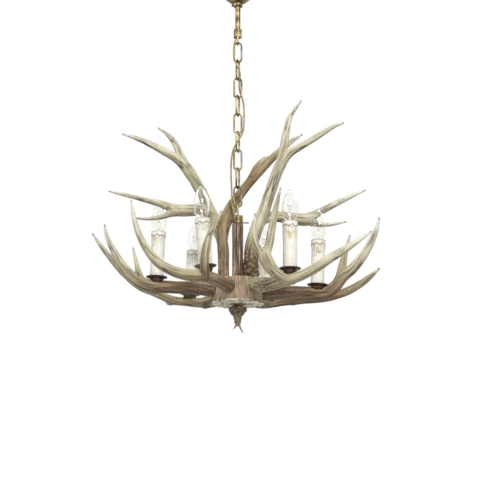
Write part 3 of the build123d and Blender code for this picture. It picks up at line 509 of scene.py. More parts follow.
# Zinc plating is dull and blue-grey, the lever screw's is browner, the blackened set screw is
# nearly black and satin, nickel is pale and bright, and drawn tungsten is a dark grey. The
# lampholders are a low-gloss off-white, the terminal blocks ivory, the flex's sheath a soft gold.
# Each has a dull and a bright colour, a roughness, and a mottle so many millimetres across.
ZINC = worn_metal("zinc_plated_steel", "#6f7274", "#9c9f9f", 0.5, 5)
GREY_STEEL = worn_metal("grey_plated_lever_screw", "#5b5a56", "#86847d", 0.5, 4)
BLACK_STEEL = worn_metal("blackened_steel_screw", "#1d1c1b", "#3a3835", 0.4, 3)
NICKEL = worn_metal("nickel_plated_screw_cap", "#a7a49b", "#cfccc2", 0.25, 4)
TUNGSTEN = worn_metal("drawn_tungsten_wire", "#55524e", "#7d7973", 0.4, 2)
HOLDER = moulded_plastic("white_moulded_lampholder", "#dad5c6", "#ece8dc", 0.5, 6)
TERMINAL = moulded_plastic("ivory_moulded_terminal_block", "#d9d2bd", "#efe9d6", 0.4, 6)
FLEX = moulded_plastic("gold_pvc_flex_sheath", "#8f7d3f", "#b5a45f", 0.32, 8)

# the finish of each node that shows its own solid
CAD_FINISHES = {
    "ceiling_crossbar": ZINC, "crossbar_nuts": ZINC, "terminal_block": TERMINAL,
    "supply_lead": FLEX, "stem_tube": BRASS, "ceiling_canopy": BRASS, "canopy_collar": BRASS,
    "canopy_set_screw": BLACK_STEEL, "stem_coupler": BRASS, "top_loop": BRASS,
    "bottom_loop": BRASS, "column_collar": BRASS, "column_lever": GREY_STEEL, "tie_pipe": ZINC,
    "wire_connectors": TERMINAL, "antler_studs": ZINC, "drip_pans": BRONZE,
    "candle_cups": BRONZE, "candle_nipples": ZINC, "lampholders": HOLDER,
}
for link in range(1, CHAIN_LINKS + 1):
    CAD_FINISHES["chain_link_" + str(link)] = BRASS
for candle in CANDLES:
    CAD_FINISHES["bulb_glass_" + str(candle[0])] = GLASS
for name, material in CAD_FINISHES.items():
    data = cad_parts[name].data
    data.materials.clear()
    data.materials.append(material)

# ------------------------------------------------------------------ the flex


def read_centre_line(points):
    """The points, in metres, of a smooth line that is drawn by these control points."""
    curve = bpy.data.curves.new("flex_line", "CURVE")
    curve.dimensions = "3D"
    curve.resolution_u = 12
    spline = curve.splines.new("NURBS")
    spline.points.add(len(points) - 1)
    for point, (x, y, z) in zip(spline.points, points):
        point.co = (x * MM, y * MM, z * MM, 1)
    spline.order_u = 3
    spline.use_endpoint_u = True
    drawn = bpy.data.objects.new("flex_line", curve)
    bpy.context.scene.collection.objects.link(drawn)
    bpy.context.view_layer.update()
    mesh = bpy.data.meshes.new_from_object(drawn)
    line = [v.co.copy() for v in mesh.vertices]
    bpy.data.objects.remove(drawn)
    bpy.data.meshes.remove(mesh)
    return line


def tube_mesh(name, line, radius, sides=12):
    """A closed round tube along a line, in metres, with smooth sides and sharp ends."""
    mesh = bmesh.new()
    rings = []
    across = None
    for i, point in enumerate(line):
        along = (line[min(i + 1, len(line) - 1)] - line[max(i - 1, 0)]).normalized()
        if across is None:
            across = along.orthogonal()
        across = (across - along * across.dot(along)).normalized()
        other = along.cross(across)
        ring = []
        for k in range(sides):
            angle = math.tau * k / sides
            spoke = across * math.cos(angle) + other * math.sin(angle)
            ring.append(mesh.verts.new(point + spoke * radius))
        rings.append(ring)
    for first, second in zip(rings, rings[1:]):
        for k in range(sides):
            n = (k + 1) % sides
            mesh.faces.new((first[k], first[n], second[n], second[k]))
    mesh.faces.new(rings[0][::-1])
    mesh.faces.new(rings[-1])
    for face in mesh.faces:
        face.smooth = True
        is_end = len(face.verts) > 4
        if is_end:
            for edge in face.edges:
                edge.smooth = False
    data = bpy.data.meshes.new(name)
    mesh.to_mesh(data)
    mesh.free()
    return data


def new_piece(name, data, *materials):
    """A visible object from a mesh, with its materials."""
    piece = bpy.data.objects.new(name, data)
    bpy.context.scene.collection.objects.link(piece)
    for material in materials:
        data.materials.append(material)
    return piece


def lay_flex():
    """The flex in ten stretches. Each goes from the middle of one link to the middle of the
    next."""
    line = read_centre_line(FLEX_ROUTE)
    cuts = [0]
    for link in range(CHAIN_LINKS):
        middle = (FIRST_LINK - LINK_PITCH * link) * MM
        cuts.append(min(range(len(line)), key=lambda i: abs(line[i].z - middle)))
    cuts.append(len(line) - 1)
    for k in range(len(cuts) - 1):
        stretch = line[cuts[k]:cuts[k + 1] + 1]
        name = "flex_stretch_" + str(k + 1)
        piece = new_piece(name, tube_mesh(name, stretch, FLEX_DIAMETER / 2 * MM), FLEX)
        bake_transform(piece)
        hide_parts("flex_cord")


lay_flex()

# ------------------------------------------------------------------ sculpted resin

# how each antler is stained: the age of the tint at its root, and where this starts and ends
# to fade to straw, out from the axis for the lower antlers and up from the hub for the others
STAINS = {
    "antler_lower_left": (0.1, 150, 270),
    "antler_lower_back_left": (0.3, 165, 300),
    "antler_lower_front_left": (0.16, 95, 330),
    "antler_lower_back_right": (0.08, 190, 430),
    "antler_lower_front_right": (0.52, 70, 290),
    "antler_lower_right": (0.02, 165, 290),
    "antler_upper_left": (0.46, -20, 110),
    "antler_upper_right": (0.1, 35, 125),
    "antler_upper_back": (0.25, 265, 400),
}
STRAW = 0.62                           # the age of the tint out on the beams
# how rough with beads each antler's root is, and how far from the root that ends
PEARLS = {"antler_upper_right": (1.0, 82), "antler_lower_front_right": (0.22, 105),
          "antler_lower_front_left": (0.45, 60)}
PLAIN_ROOT = (0.15, 75)
# limbs of one antler that are darker than the rest: the burl of one, the stub of another
DARK_LIMBS = {"antler_upper_back": (2, 0.3), "antler_lower_back_left": (2, 0.05)}
# the cut end of the stubbed tine, stained dark: its antler, out, across and up, and radius
STUBBED = "antler_lower_back_left"
STUB_END = (91, 23, -26)
STUB_RADIUS = 11.5
# The grain on a limb: how long one cell of its noise is across the limb and along it. Two lines
# of the grain stand about 1.4 cells apart.
FURROWS = (6.5, 75)                    # 9 mm apart
FLUTES = (9.0, 95)                     # 13 mm apart
WIDE_STREAKS = (5.0, 85)
THIN_STREAKS = (2.6, 48)               # half that size, to break the wide ones up
FURROW_DEPTH = 0.9
FLUTE_HEIGHT = 0.9
PEARL_HEIGHT = 3.0
CRUMB_HEIGHT = 1.3
LUMP_HEIGHT = 2.4

WELD_DISTANCE = 0.001
ANTLER_VOXEL = 1.5                     # the side of the small faces that a solid is rebuilt in
ROW_SPACING = 3.0                      # between the points of a limb's line
START_SIDE = (0.21, 0.94, 0.27)        # a direction that no limb starts along
FREE_GIRTH = 6                         # a limb whose last girth is less ends in a point
FAR_FROM_POINT = 120.0                 # for a limb that ends in another one
WEB_SHARPNESS = 6                      # the lower, the wider the web in a fork
FURTHEST_MOVE = 2.5                    # of a point onto the limbs' smooth lines
# the cups and pans over the antlers, in a candle's own frame
CUP_RADIUS = 15.4
CUP_FLOOR = -14.0
PAN_FOOT = (15.9, -4.6)                # radius and height where its underside begins
PAN_SLOPE = 0.5
PAN_RADIUS = 23.9
OVER_PAN = 60                          # a tine that passes this far up isn't under the pan
SEAT_BARE = 16                         # no relief on an antler within this radius,
SEAT_FADE = 10                         # and all of it from so much further out
SEAT_HEIGHTS = (-18, 30)
COLUMN_CLEARANCE = 12.9                # the radius that the upper antlers leave to the column
PRONGS_START = -826                    # height where the finial's beads have run out
FINIAL_SEAT = -777.8                   # and where they begin under the rosette


def at_bearing(bearing, out, across):
    """Plan position of a point given out along a bearing and across to its right."""
    angle = math.radians(bearing)
    return (out * math.sin(angle) + across * math.cos(angle),
            across * math.sin(angle) - out * math.cos(angle))


def smooth_line(points, spacing):
    """Points on one smooth curve through the given ones, about the spacing apart."""
    points = np.array(points, float)
    result = []
    for i in range(len(points) - 1):
        p0, p1 = points[max(i - 1, 0)], points[i]
        p2, p3 = points[i + 1], points[min(i + 2, len(points) - 1)]
        count = max(int(np.linalg.norm(p2[:3] - p1[:3]) / spacing), 1)
        for t in np.arange(count) / count:
            result.append(0.5 * (2 * p1 + (p2 - p0) * t + (2 * p0 - 5 * p1 + 4 * p2 - p3) * t ** 2
                                 + (3 * p1 - p0 - 3 * p2 + p3) * t ** 3))
    result.append(points[-1])
    return np.array(result)


def remeshed_copy(node, voxel):
    """A copy of a solid's surface in small even faces: its mesh, its points in millimetres
    and the pairs of points that its edges join."""
    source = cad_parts[node].data
    welded = bmesh.new()
    welded.from_mesh(source)
    bmesh.ops.remove_doubles(welded, verts=welded.verts, dist=WELD_DISTANCE * MM)
    data = bpy.data.meshes.new(node + "_welded")
    welded.to_mesh(data)
    welded.free()
    rough = bpy.data.objects.new(node + "_rough", data)
    bpy.context.scene.collection.objects.link(rough)
    remesh = rough.modifiers.new("remesh", "REMESH")
    remesh.mode = "VOXEL"
    remesh.voxel_size = voxel * MM
    bpy.context.view_layer.update()
    evaluated = rough.evaluated_get(bpy.context.evaluated_depsgraph_get())
    even = bpy.data.meshes.new_from_object(evaluated)
    bpy.data.objects.remove(rough)
    bpy.data.meshes.remove(data)
    points = np.empty(len(even.vertices) * 3)
    even.vertices.foreach_get("co", points)
    edges = np.empty(len(even.edges) * 2, int)
    even.edges.foreach_get("vertices", edges)
    return even, points.reshape(-1, 3) / MM, edges.reshape(-1, 2)


def relaxed(points, edges, rounds, weight):
    """Moves each point towards the mean of its neighbours, as far as its weight says."""
    count = np.bincount(edges.ravel(), minlength=len(points))[:, None]
    weight = np.broadcast_to(weight, len(points))[:, None]
    for _ in range(rounds):
        total = np.zeros_like(points)
        for axis in range(3):
            total[:, axis] = (np.bincount(edges[:, 0], points[edges[:, 1], axis], len(points))
                              + np.bincount(edges[:, 1], points[edges[:, 0], axis], len(points)))
        points = points + (total / np.maximum(count, 1) - points) * weight
    return points


def spread(values, edges, rounds):
    """The values of the points, each mixed with its neighbours' for some rounds."""
    count = np.maximum(np.bincount(edges.ravel(), minlength=len(values)), 1)
    for _ in range(rounds):
        total = (np.bincount(edges[:, 0], values[edges[:, 1]], len(values))
                 + np.bincount(edges[:, 1], values[edges[:, 0]], len(values)))
        values = values * 0.4 + total / count * 0.6
    return values


def evened(points, edges, rounds):
    """Takes out the steps of the remesh without shrinking the shape."""
    for _ in range(rounds):
        # in, and then out by a little more, because the first move has made the steps smaller
        points = relaxed(points, edges, rounds=1, weight=0.5)
        points = relaxed(points, edges, rounds=1, weight=-0.53)
    return points


def write_back(mesh, points, **attributes):
    """Puts the points back into the mesh and stores what the materials read."""
    mesh.vertices.foreach_set("co", (points * MM).ravel())
    for name, values in attributes.items():
        layer = mesh.attributes.new(name, "FLOAT", "POINT")
        layer.data.foreach_set("value", values.astype(np.float32))
    mesh.shade_smooth()
    mesh.update()


def normals_of(mesh, points):
    """The normal at each point, once the mesh has these points."""
    mesh.vertices.foreach_set("co", (points * MM).ravel())
    mesh.update()
    normals = np.empty(len(mesh.vertices) * 3)
    mesh.vertex_normals.foreach_get("vector", normals)
    return normals.reshape(-1, 3)


def noise_at(places):
    """Smooth noise, from -1 to 1, at each row of an array."""
    return np.array([noise.noise(Vector(place)) for place in places])


def beads_at(places):
    """Rounded beads: 1 on the middle of each, 0 in the hollows between."""
    return np.array([max(0.0, 1 - noise.voronoi(Vector(place))[0][0] * 1.6) for place in places])


class Limbs:
    """The centre lines of one antler, with a frame along each to measure round and along."""

    def __init__(self, bearing, limbs):
        self.centres, self.along, self.across = [], [], []
        self.radius, self.travel, self.left = [], [], []
        for limb in limbs:
            placed = [(*at_bearing(bearing, out, across), ARM_LEVEL + up, girth)
                      for out, across, up, girth in limb]
            line = smooth_line(placed, ROW_SPACING)
            centres = line[:, :3]
            along = np.gradient(centres, axis=0)
            along /= np.linalg.norm(along, axis=1)[:, None]
            side = np.cross(along[0], START_SIDE)
            sides = []
            for direction in along:
                side = side - direction * side.dot(direction)
                side = side / np.linalg.norm(side)
                sides.append(side)
            steps = np.linalg.norm(np.diff(centres, axis=0), axis=1)
            travel = np.concatenate([[0], np.cumsum(steps)])
            left = travel[-1] - travel
            if limb[-1][3] >= FREE_GIRTH:
                left = np.full(len(travel), FAR_FROM_POINT)
            self.centres.append(centres)
            self.along.append(along)
            self.across.append(np.array(sides))
            self.radius.append(line[:, 3] / 2)
            self.travel.append(travel)
            self.left.append(left)

    def nearest(self, points, batch=4000):
        """For each limb: how far each point is from its centre line in radii, and the row of
        the centre line that is nearest. The batches keep the arrays small."""
        ratios, rows = [], []
        for centres, along, radius in zip(self.centres, self.along, self.radius):
            row = np.empty(len(points), int)
            for start in range(0, len(points), batch):
                part = points[start:start + batch]
                gaps = np.linalg.norm(part[:, None] - centres[None], axis=2) / radius[None]
                row[start:start + batch] = gaps.argmin(axis=1)
            offset = points - centres[row]
            step = np.clip((offset * along[row]).sum(axis=1), -ROW_SPACING / 2, ROW_SPACING / 2)
            gap = np.linalg.norm(offset - step[:, None] * along[row], axis=1)
            taper = np.gradient(radius) / ROW_SPACING
            ratios.append(gap / (radius[row] + taper[row] * step))
            rows.append(row)
        return np.array(ratios), np.array(rows)


def skin_weight(closest):
    """0 at points well inside a limb, which are cut faces, and 1 on the limbs' own skin."""
    return np.clip((closest - 0.82) / 0.1, 0, 1)


def blended_onto(lines, mesh, points):
    """Moves the surface onto the limbs' smooth lines, with soft webs where limbs meet. Cut
    faces, which lie inside a limb, stay."""
    normals = normals_of(mesh, points)
    ratios, rows = lines.nearest(points)
    closest = ratios.min(axis=0)
    overlap = np.exp(-WEB_SHARPNESS * (ratios - closest)).sum(axis=0)
    field = closest - np.log(overlap) / WEB_SHARPNESS
    reach = np.choose(ratios.argmin(axis=0), [r[row] for r, row in zip(lines.radius, rows)])
    free = skin_weight(closest) * seat_weight(points)
    move = np.clip((1 - field) * reach, -FURTHEST_MOVE, FURTHEST_MOVE) * free
    return points + normals * move[:, None]


def grain_at(x, y, travel, cell, shift=(0, 0, 0)):
    """Noise that is drawn out along a limb, for points at x and y round it and so far along."""
    return noise_at(np.stack([x / cell[0] + shift[0], y / cell[0] + shift[1],
                              travel / cell[1] + shift[2]], axis=1))


def limb_grain(lines, points, share, rows, own_seed):
    """What the limbs give each point, by its share in each: furrows, swells, how near a tip
    it is, whether it is in the grey point, and streaks."""
    furrow, swell, tip, point, streak = np.zeros((5, len(points)))
    for k in range(len(lines.centres)):
        near = share[k] > 0.04
        row = rows[k][near]
        offset = points[near] - lines.centres[k][row]
        across = lines.across[k][row]
        other = np.cross(lines.along[k][row], across)
        x, y = (offset * across).sum(axis=1), (offset * other).sum(axis=1)
        # the tiny length keeps a point on the centre line from a division by zero
        size = np.hypot(x, y) + 1e-6
        reach = lines.radius[k][row]
        travel = lines.travel[k][row] + (offset * lines.along[k][row]).sum(axis=1)
        x, y = x / size * reach, y / size * reach
        seed = 37.0 * k + own_seed
        part = share[k][near]
        fine = grain_at(x, y, travel, FURROWS, (seed, 0, 0))
        broad = grain_at(x, y, travel, FLUTES, (0, seed, 0))
        # the relief fades out over the last 60 mm of a tine, which is smooth
        left = lines.left[k][row]
        fade = np.clip(left / 60, 0, 1) ** 0.7
        furrow[near] += part * np.clip(1 - np.abs(fine) / 0.17, 0, 1) * fade
        swell[near] += part * broad * fade * np.clip(reach / 13, 0.2, 1)
        tip[near] += part * np.clip(1 - left / 150, 0, 1)
        point[near] += part * np.clip(1 - (left - 3) / 7, 0, 1)
        wide = grain_at(x, y, travel, WIDE_STREAKS, (seed, -7, 0))
        thin = grain_at(x, y, travel, THIN_STREAKS, (-seed, 0, 4))
        streak[near] += part * (wide * 0.75 + thin * 0.55) * (0.45 + 0.55 * fade)
    return furrow, swell, tip, point, streak


def root_relief(node, points, from_root, on_beam):
    """The beam near its root: how rough it is there, its knobs and crumbs, and its burr."""
    # the roughness fades out over its last 40 mm
    strength, rough_end = PEARLS.get(node, PLAIN_ROOT)
    rough = np.clip((rough_end - from_root) / 40, 0, 1) * on_beam * strength
    knob, crumb = np.zeros((2, len(points)))
    beaded = rough > 0.02
    beads = points[beaded]
    knob[beaded] = beads_at(beads / 8.5) * 0.7 - 0.3 + noise_at(beads / 7.0) * 1.3
    crumb[beaded] = noise_at(beads / 3.6)
    # a ring-shaped swelling a third of the way along the rough part
    burr = np.clip(1 - np.abs(from_root - 0.36 * rough_end) / (0.22 * rough_end), 0, 1) * on_beam
    burr *= 1.7 if node in PEARLS else 0.2
    return rough, knob, crumb, burr


def carve_antler(node, bearing, limbs):
    """One antler: forks filled out, long furrows down the beam and tines, beads near the
    root, and at each point what its material reads."""
    mesh, points, edges = remeshed_copy(node, ANTLER_VOXEL)
    points = evened(points, edges, rounds=2)
    lines = Limbs(bearing, limbs)
    points = blended_onto(lines, mesh, points)
    points = relaxed(points, edges, rounds=2, weight=0.4)
    points = blended_onto(lines, mesh, points)
    normals = normals_of(mesh, points)
    ratios, rows = lines.nearest(points)
    closest = ratios.min(axis=0)
    # each limb's part in each point, which falls off fast away from the limb
    share = np.exp(-(ratios - closest) * 7)
    share /= share.sum(axis=0)

    # the relief, and how high each point stands over those around it
    furrow, swell, tip, point, streak = limb_grain(lines, points, share, rows, 5.1 * len(node))
    furrow = np.clip(spread(furrow, edges, rounds=2) * 1.35, 0, 1)
    streak = spread(streak, edges, rounds=1)
    # furrows are deep in some places and fade out in others, 50 mm apart
    furrow *= np.clip(noise_at(points / 50 + 3.7) * 2.2 + 0.55, 0, 1)
    from_root = lines.travel[0][rows[0]]
    # 1 on the main beam, and 0 from one and a half of its radii
    on_beam = np.clip((1.5 - ratios[0]) * 3, 0, 1)
    rough, knob, crumb, burr = root_relief(node, points, from_root, on_beam)
    lump = noise_at(points / 12.0) * rough
    lift = (swell * FLUTE_HEIGHT - furrow * FURROW_DEPTH
            + rough * (knob * PEARL_HEIGHT + crumb * CRUMB_HEIGHT) + lump * LUMP_HEIGHT + burr)
    keep_flat = seat_weight(points)
    lift *= keep_flat * skin_weight(closest)
    high = lift - spread(lift, edges, rounds=10)

    # the age of the tint, from umber at 0 to ivory at 1: more to the tips, a little more on what
    # faces up as a painted highlight, and a little less on what faces down as painted shade
    root_age, fade_start, fade_end = STAINS[node]
    lower = "lower" in node
    reached = np.hypot(points[:, 0], points[:, 1]) if lower else points[:, 2] - HUB_TOP
    away = np.clip((reached - fade_start) / (fade_end - fade_start), 0, 1)
    away = away * away * (3 - 2 * away)
    up = spread(normals[:, 2], edges, rounds=4) + 0.35 * noise_at(points / 34 + 9.1)
    # the up term is a painted highlight on top and painted shade underneath
    age = root_age + (STRAW - root_age) * away + 0.28 * tip + 0.08 * np.clip(up, -1, 1)
    if node in DARK_LIMBS:
        limb, darker = DARK_LIMBS[node]
        age -= share[limb] * (darker + 0.12 * tip)
    streak -= 0.12 * tip * away

    # the stain that stays in the furrows and between the beads, and painted shade under the limbs
    painted_underside_shade = np.clip(-up - 0.1, 0, 1)
    hollow = furrow * 0.8 + np.clip(-high / 0.5, 0, 1) * 0.55 + painted_underside_shade * 0.45
    hollow += rough * np.clip(0.5 - knob * 0.9 - crumb * 0.9, -0.3, 1)
    if node == STUBBED:
        cut = np.array([*at_bearing(bearing, *STUB_END[:2]), ARM_LEVEL + STUB_END[2]])
        from_cut = np.linalg.norm(points - cut, axis=1)
        on_cut = np.clip((STUB_RADIUS - from_cut) / 1.5, 0, 1)
        hollow += on_cut * 2
        streak -= on_cut
        age += np.exp(-((from_cut - 16) / 4) ** 2) * 0.12

    # what the dry brush caught: ridges and the tops of the beads; and a painted highlight on
    # what faces up
    ridge = np.clip(high / 0.5, 0, 1) * 0.6 + np.clip(up, 0, 1) * 0.35 * away
    ridge *= 1 - 0.75 * np.clip(rough * 2, 0, 1)
    ridge += rough * np.clip(crumb + knob * 0.6 - 0.35, 0, 1) * 0.5
    ridge *= 0.35 + 0.65 * np.clip(age / 0.5, 0, 1)

    points = points + normals * lift[:, None]
    points = relaxed(points, edges, rounds=1, weight=0.4 * keep_flat)
    points = clear_neighbours(node, points)
    # the furrow attribute holds the stain and the painted shade under the limbs; the ridge
    # attribute holds the dry brush and the painted highlight on what faces up
    write_back(mesh, points, furrow=np.clip(hollow, 0, 0.9), ridge=np.clip(ridge, 0, 0.7),
               age=age, point=point * 0.8, streak=streak)
    piece = new_piece(node + "_carved", mesh, ANTLER)
    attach(piece, "lamp")
    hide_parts(node)


def candle_frame(candle):
    """The matrix of a candle's own upright frame, in millimetres."""
    _, bearing, height, lean = candle
    place = (*at_bearing(bearing, CANDLE_CIRCLE, 0), ARM_LEVEL + height)
    return Matrix.Translation(place) @ Matrix.Rotation(math.radians(lean), 4, "Y")


def seen_from_candle(candle, points):
    """The points in a candle's own frame: how far from its axis and how high."""
    inverse = np.array(candle_frame(candle).inverted())
    local = points @ inverse[:3, :3].T + inverse[:3, 3]
    return np.hypot(local[:, 0], local[:, 1]), local[:, 2]


def seat_weight(points):
    """0 where a candle's cup or pan lies on the antler, so that no relief lifts it there, and
    1 further out."""
    weight = np.ones(len(points))
    for candle in CANDLES:
        out, height = seen_from_candle(candle, points)
        low, high = SEAT_HEIGHTS
        inside = (out < SEAT_BARE + SEAT_FADE) & (height > low) & (height < high)
        faded = np.clip((out[inside] - SEAT_BARE) / SEAT_FADE, 0, 1)
        weight[inside] = np.minimum(weight[inside], faded)
    return weight


def clear_neighbours(node, points):
    """Keeps an antler clear of the hub, the column and the candles' cups and pans."""
    points = points.copy()
    out = np.hypot(points[:, 0], points[:, 1])
    if "lower" in node:
        inside = out < HUB_RADIUS
        points[inside, :2] *= (HUB_RADIUS / out[inside])[:, None]
    else:
        points[:, 2] = np.maximum(points[:, 2], HUB_TOP)
        inside = (out < COLUMN_CLEARANCE) & (points[:, 2] < COLUMN_TOP + 2)
        points[inside, :2] *= (COLUMN_CLEARANCE / out[inside])[:, None]
    for candle in CANDLES:
        frame_matrix = np.array(candle_frame(candle))
        inverse = np.linalg.inv(frame_matrix)
        local = points @ inverse[:3, :3].T + inverse[:3, 3]
        out = np.hypot(local[:, 0], local[:, 1])
        pan_underside = PAN_FOOT[1] + (out - PAN_FOOT[0]) * PAN_SLOPE
        ceiling = np.where(out < CUP_RADIUS, CUP_FLOOR, pan_underside)
        over = (local[:, 2] > ceiling) & (local[:, 2] < OVER_PAN) & (out < PAN_RADIUS)
        local[over, 2] = ceiling[over]
        points[over] = local[over] @ frame_matrix[:3, :3].T + frame_matrix[:3, 3]
    return points


for node, (bearing, limbs) in ANTLERS.items():
    carve_antler(node, bearing, limbs)


def carve_hub():
    """The hub: upright striations 4 to 5 mm apart and a soft, uneven upper edge."""
    mesh, points, edges = remeshed_copy("hub_block", voxel=1.9)
    points = evened(points, edges, rounds=2)
    normals = normals_of(mesh, points)
    out = np.hypot(points[:, 0], points[:, 1])
    # 1 on the round side and 0 on the flat faces, and the reverse
    side = np.clip((out - 49) / 3, 0, 1)
    flat = 1 - side
    round_hub = points[:, :2] / out[:, None] * HUB_RADIUS
    fine = noise_at(np.column_stack([round_hub / 3.2, points[:, 2] / 46]))
    cross = noise_at(points / 5.5)
    line_depth = np.clip(1 - np.abs(fine) / 0.25, 0, 1)
    # the flat faces stay plain within 24 mm of the axis, where the column stands
    lift = -side * line_depth * 1.1 + side * np.abs(fine) * 0.5 + flat * cross * 0.7 * (out > 24)
    dark = np.clip(line_depth * side * 0.8 + flat * 0.3, 0, 1)
    write_back(mesh, points + normals * lift[:, None], furrow=dark)
    piece = new_piece("hub_carved", mesh, HUB)
    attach(piece, "lamp")
    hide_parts("hub_block")


def carve_rosette():
    """The rosette under the hub: a beaded, broken edge and a pitted underside."""
    mesh, points, edges = remeshed_copy("base_rosette", voxel=1.2)
    points = evened(points, edges, rounds=2)
    normals = normals_of(mesh, points)
    out = np.hypot(points[:, 0], points[:, 1])
    outer = np.clip((out - 24) / 8, 0, 1)
    # beads 9.5 mm apart, pushed out of their rows by up to 4 mm
    bent = points + 4.0 * np.column_stack([noise_at(points / 9 + k * 31.7) for k in range(3)])
    bead = beads_at(bent / 9.5)
    coarse = noise_at(points / 13.0)
    fine = noise_at(points / 3.6)
    lift = (bead * 2.6 - 1.3 + coarse * 1.5 + fine * 0.8) * outer
    # nothing rises against the hub
    lift *= np.where(points[:, 2] > HUB_BOTTOM - 0.8, 0.0, 1.0)
    dark = np.clip(0.72 - bead * 1.1 - coarse * 0.5 - fine * 0.45, 0, 1)
    write_back(mesh, points + normals * lift[:, None], furrow=dark)
    piece = new_piece("rosette_carved", mesh, PEARLED)
    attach(piece, "lamp")
    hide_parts("base_rosette")


def carve_finial():
    """The finial: coarse beads on the knob that run out into two bare prongs."""
    mesh, points, edges = remeshed_copy("finial", voxel=0.9)
    points = evened(points, edges, rounds=3)
    points = relaxed(points, edges, rounds=5, weight=0.5)
    normals = normals_of(mesh, points)
    bead = beads_at(points / 5.0)
    fine = noise_at(points / 2.2)
    # 0 on the prongs, and 0 at the knob's top, which lies against the rosette
    on_knob = np.clip((points[:, 2] - PRONGS_START) / 16, 0, 1)
    clear = np.clip((FINIAL_SEAT - points[:, 2]) / 2, 0, 1)
    lift = (bead * 1.9 - 0.5 + fine * 0.4) * on_knob * clear
    hollow = np.clip(0.85 - bead * 1.3, 0, 1) * on_knob
    write_back(mesh, points + normals * lift[:, None], furrow=hollow)
    piece = new_piece("finial_carved", mesh, FINIAL)
    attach(piece, "lamp")
    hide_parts("finial")


def carve_column():
    """The centre post: stained resin, dark in its flutes and rubbed pale between them."""
    mesh, points, edges = remeshed_copy("centre_column", voxel=0.9)
    points = evened(points, edges, rounds=2)
    normals = normals_of(mesh, points)
    out = np.hypot(points[:, 0], points[:, 1])
    # 0 in the bore and 1 outside, and 1 in the solid's own flutes and 0 between them
    outside = np.clip((out - 8) / 2, 0, 1)
    flute = np.clip((12.35 - out) / 0.9, 0, 1)
    fine = noise_at(np.column_stack([points[:, :2] / 3.4, points[:, 2] / 60]))
    cloud = noise_at(points / np.array([9, 9, 26]) + 2.3)
    lift = (fine * 0.55 - flute * 0.5) * outside
    dark = np.clip(0.45 + flute * 0.6 - fine * 1.2 - cloud * 0.7, 0, 1)
    write_back(mesh, points + normals * lift[:, None], furrow=dark)
    piece = new_piece("column_carved", mesh, COLUMN)
    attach(piece, "lamp")
    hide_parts("centre_column")


carve_hub()
carve_rosette()
carve_finial()
carve_column()

# ------------------------------------------------------------------ candles

DRIP_COUNT = 11
DRIPS_TURN = 1.9                       # from one sleeve's drips to the next one's
DRIPS_REACH = 48                       # how far under the rim the sleeve's rows are close
DRIP_ROWS = 100
FOOT_ROWS = 12
SLEEVE_SIDES = 140
WAX_THICKNESS = 1.3
THREAD_TURNS = 6
THREAD_PITCH = 3.1
# the wires in a bulb, in its own frame over the cap's top: x, y and height
LEAD_WIRE = [(1.0, 0, 19), (1.4, 0.2, 24), (4.6, 0.3, 31), (6.2, 0, 36)]
SUPPORT_WIRE = [(0, 0, 22), (0, -0.4, 28), (0, 0, 33.5)]
WIRE_RADIUS = 0.2
FILAMENT_RADIUS = 0.14
# the filament's coil, which sags between the leads
COIL_TURNS = 16
COIL_STEPS = 150
COIL_RADIUS = 0.55
COIL_SPAN = 12.4
COIL_HEIGHT = 36
COIL_SAG = 2.6


def drip_field(angle, height, turn):
    """The run wax on a sleeve: how thick it is, from 0 to 1, and how dark the glaze is, for a
    scalloped collar under the rim and drips of different lengths below it."""
    below = SLEEVE_TOP - height
    # the collar's lower edge, with a scallop every 50 degrees or so
    edge = 7.5 + 3.4 * np.abs(np.sin(3.5 * angle + turn)) + 0.8 * np.sin(5 * angle - turn)
    collar = (edge - below) / 1.4
    drips = np.full(angle.shape, -9.0)
    for k in range(DRIP_COUNT):
        middle = math.radians(turn * 57 + 33 * k + 6 * math.sin(5.3 * k))
        length = 15 + 24 * math.sin(2.4 * k + turn) ** 2
        width = 1.9 + 0.7 * math.sin(3.1 * k)
        aside = np.abs((angle - middle + math.pi) % math.tau - math.pi) * SLEEVE_RADIUS
        # each drip is a round-ended finger, a little fatter at its foot
        fat = width * (1 + 0.3 * np.exp(-((below - length + 3) / 3.5) ** 2))
        past = np.maximum(below - (length - fat), 0)
        drips = np.maximum(drips, (fat - np.hypot(aside, past)) / 1.2)
    thick = np.maximum(np.clip(collar, 0, 1), 0.65 * np.clip(drips, 0, 1))
    # the glaze lies along the collar's edge and the drips' edges; between the drips the sleeve is
    # a little darker, most under the collar and fading out 40 mm under the rim
    bare = collar < 0
    between = np.clip(1 - below / 40, 0, 1) * np.clip(-drips, 0, 1)
    glaze = np.exp(-((collar + 0.6) / 0.75) ** 2)
    glaze = np.maximum(glaze, 0.55 * np.exp(-((drips + 0.3) / 0.6) ** 2) * bare)
    glaze = np.maximum(glaze, 0.16 * between * bare)
    return thick, glaze


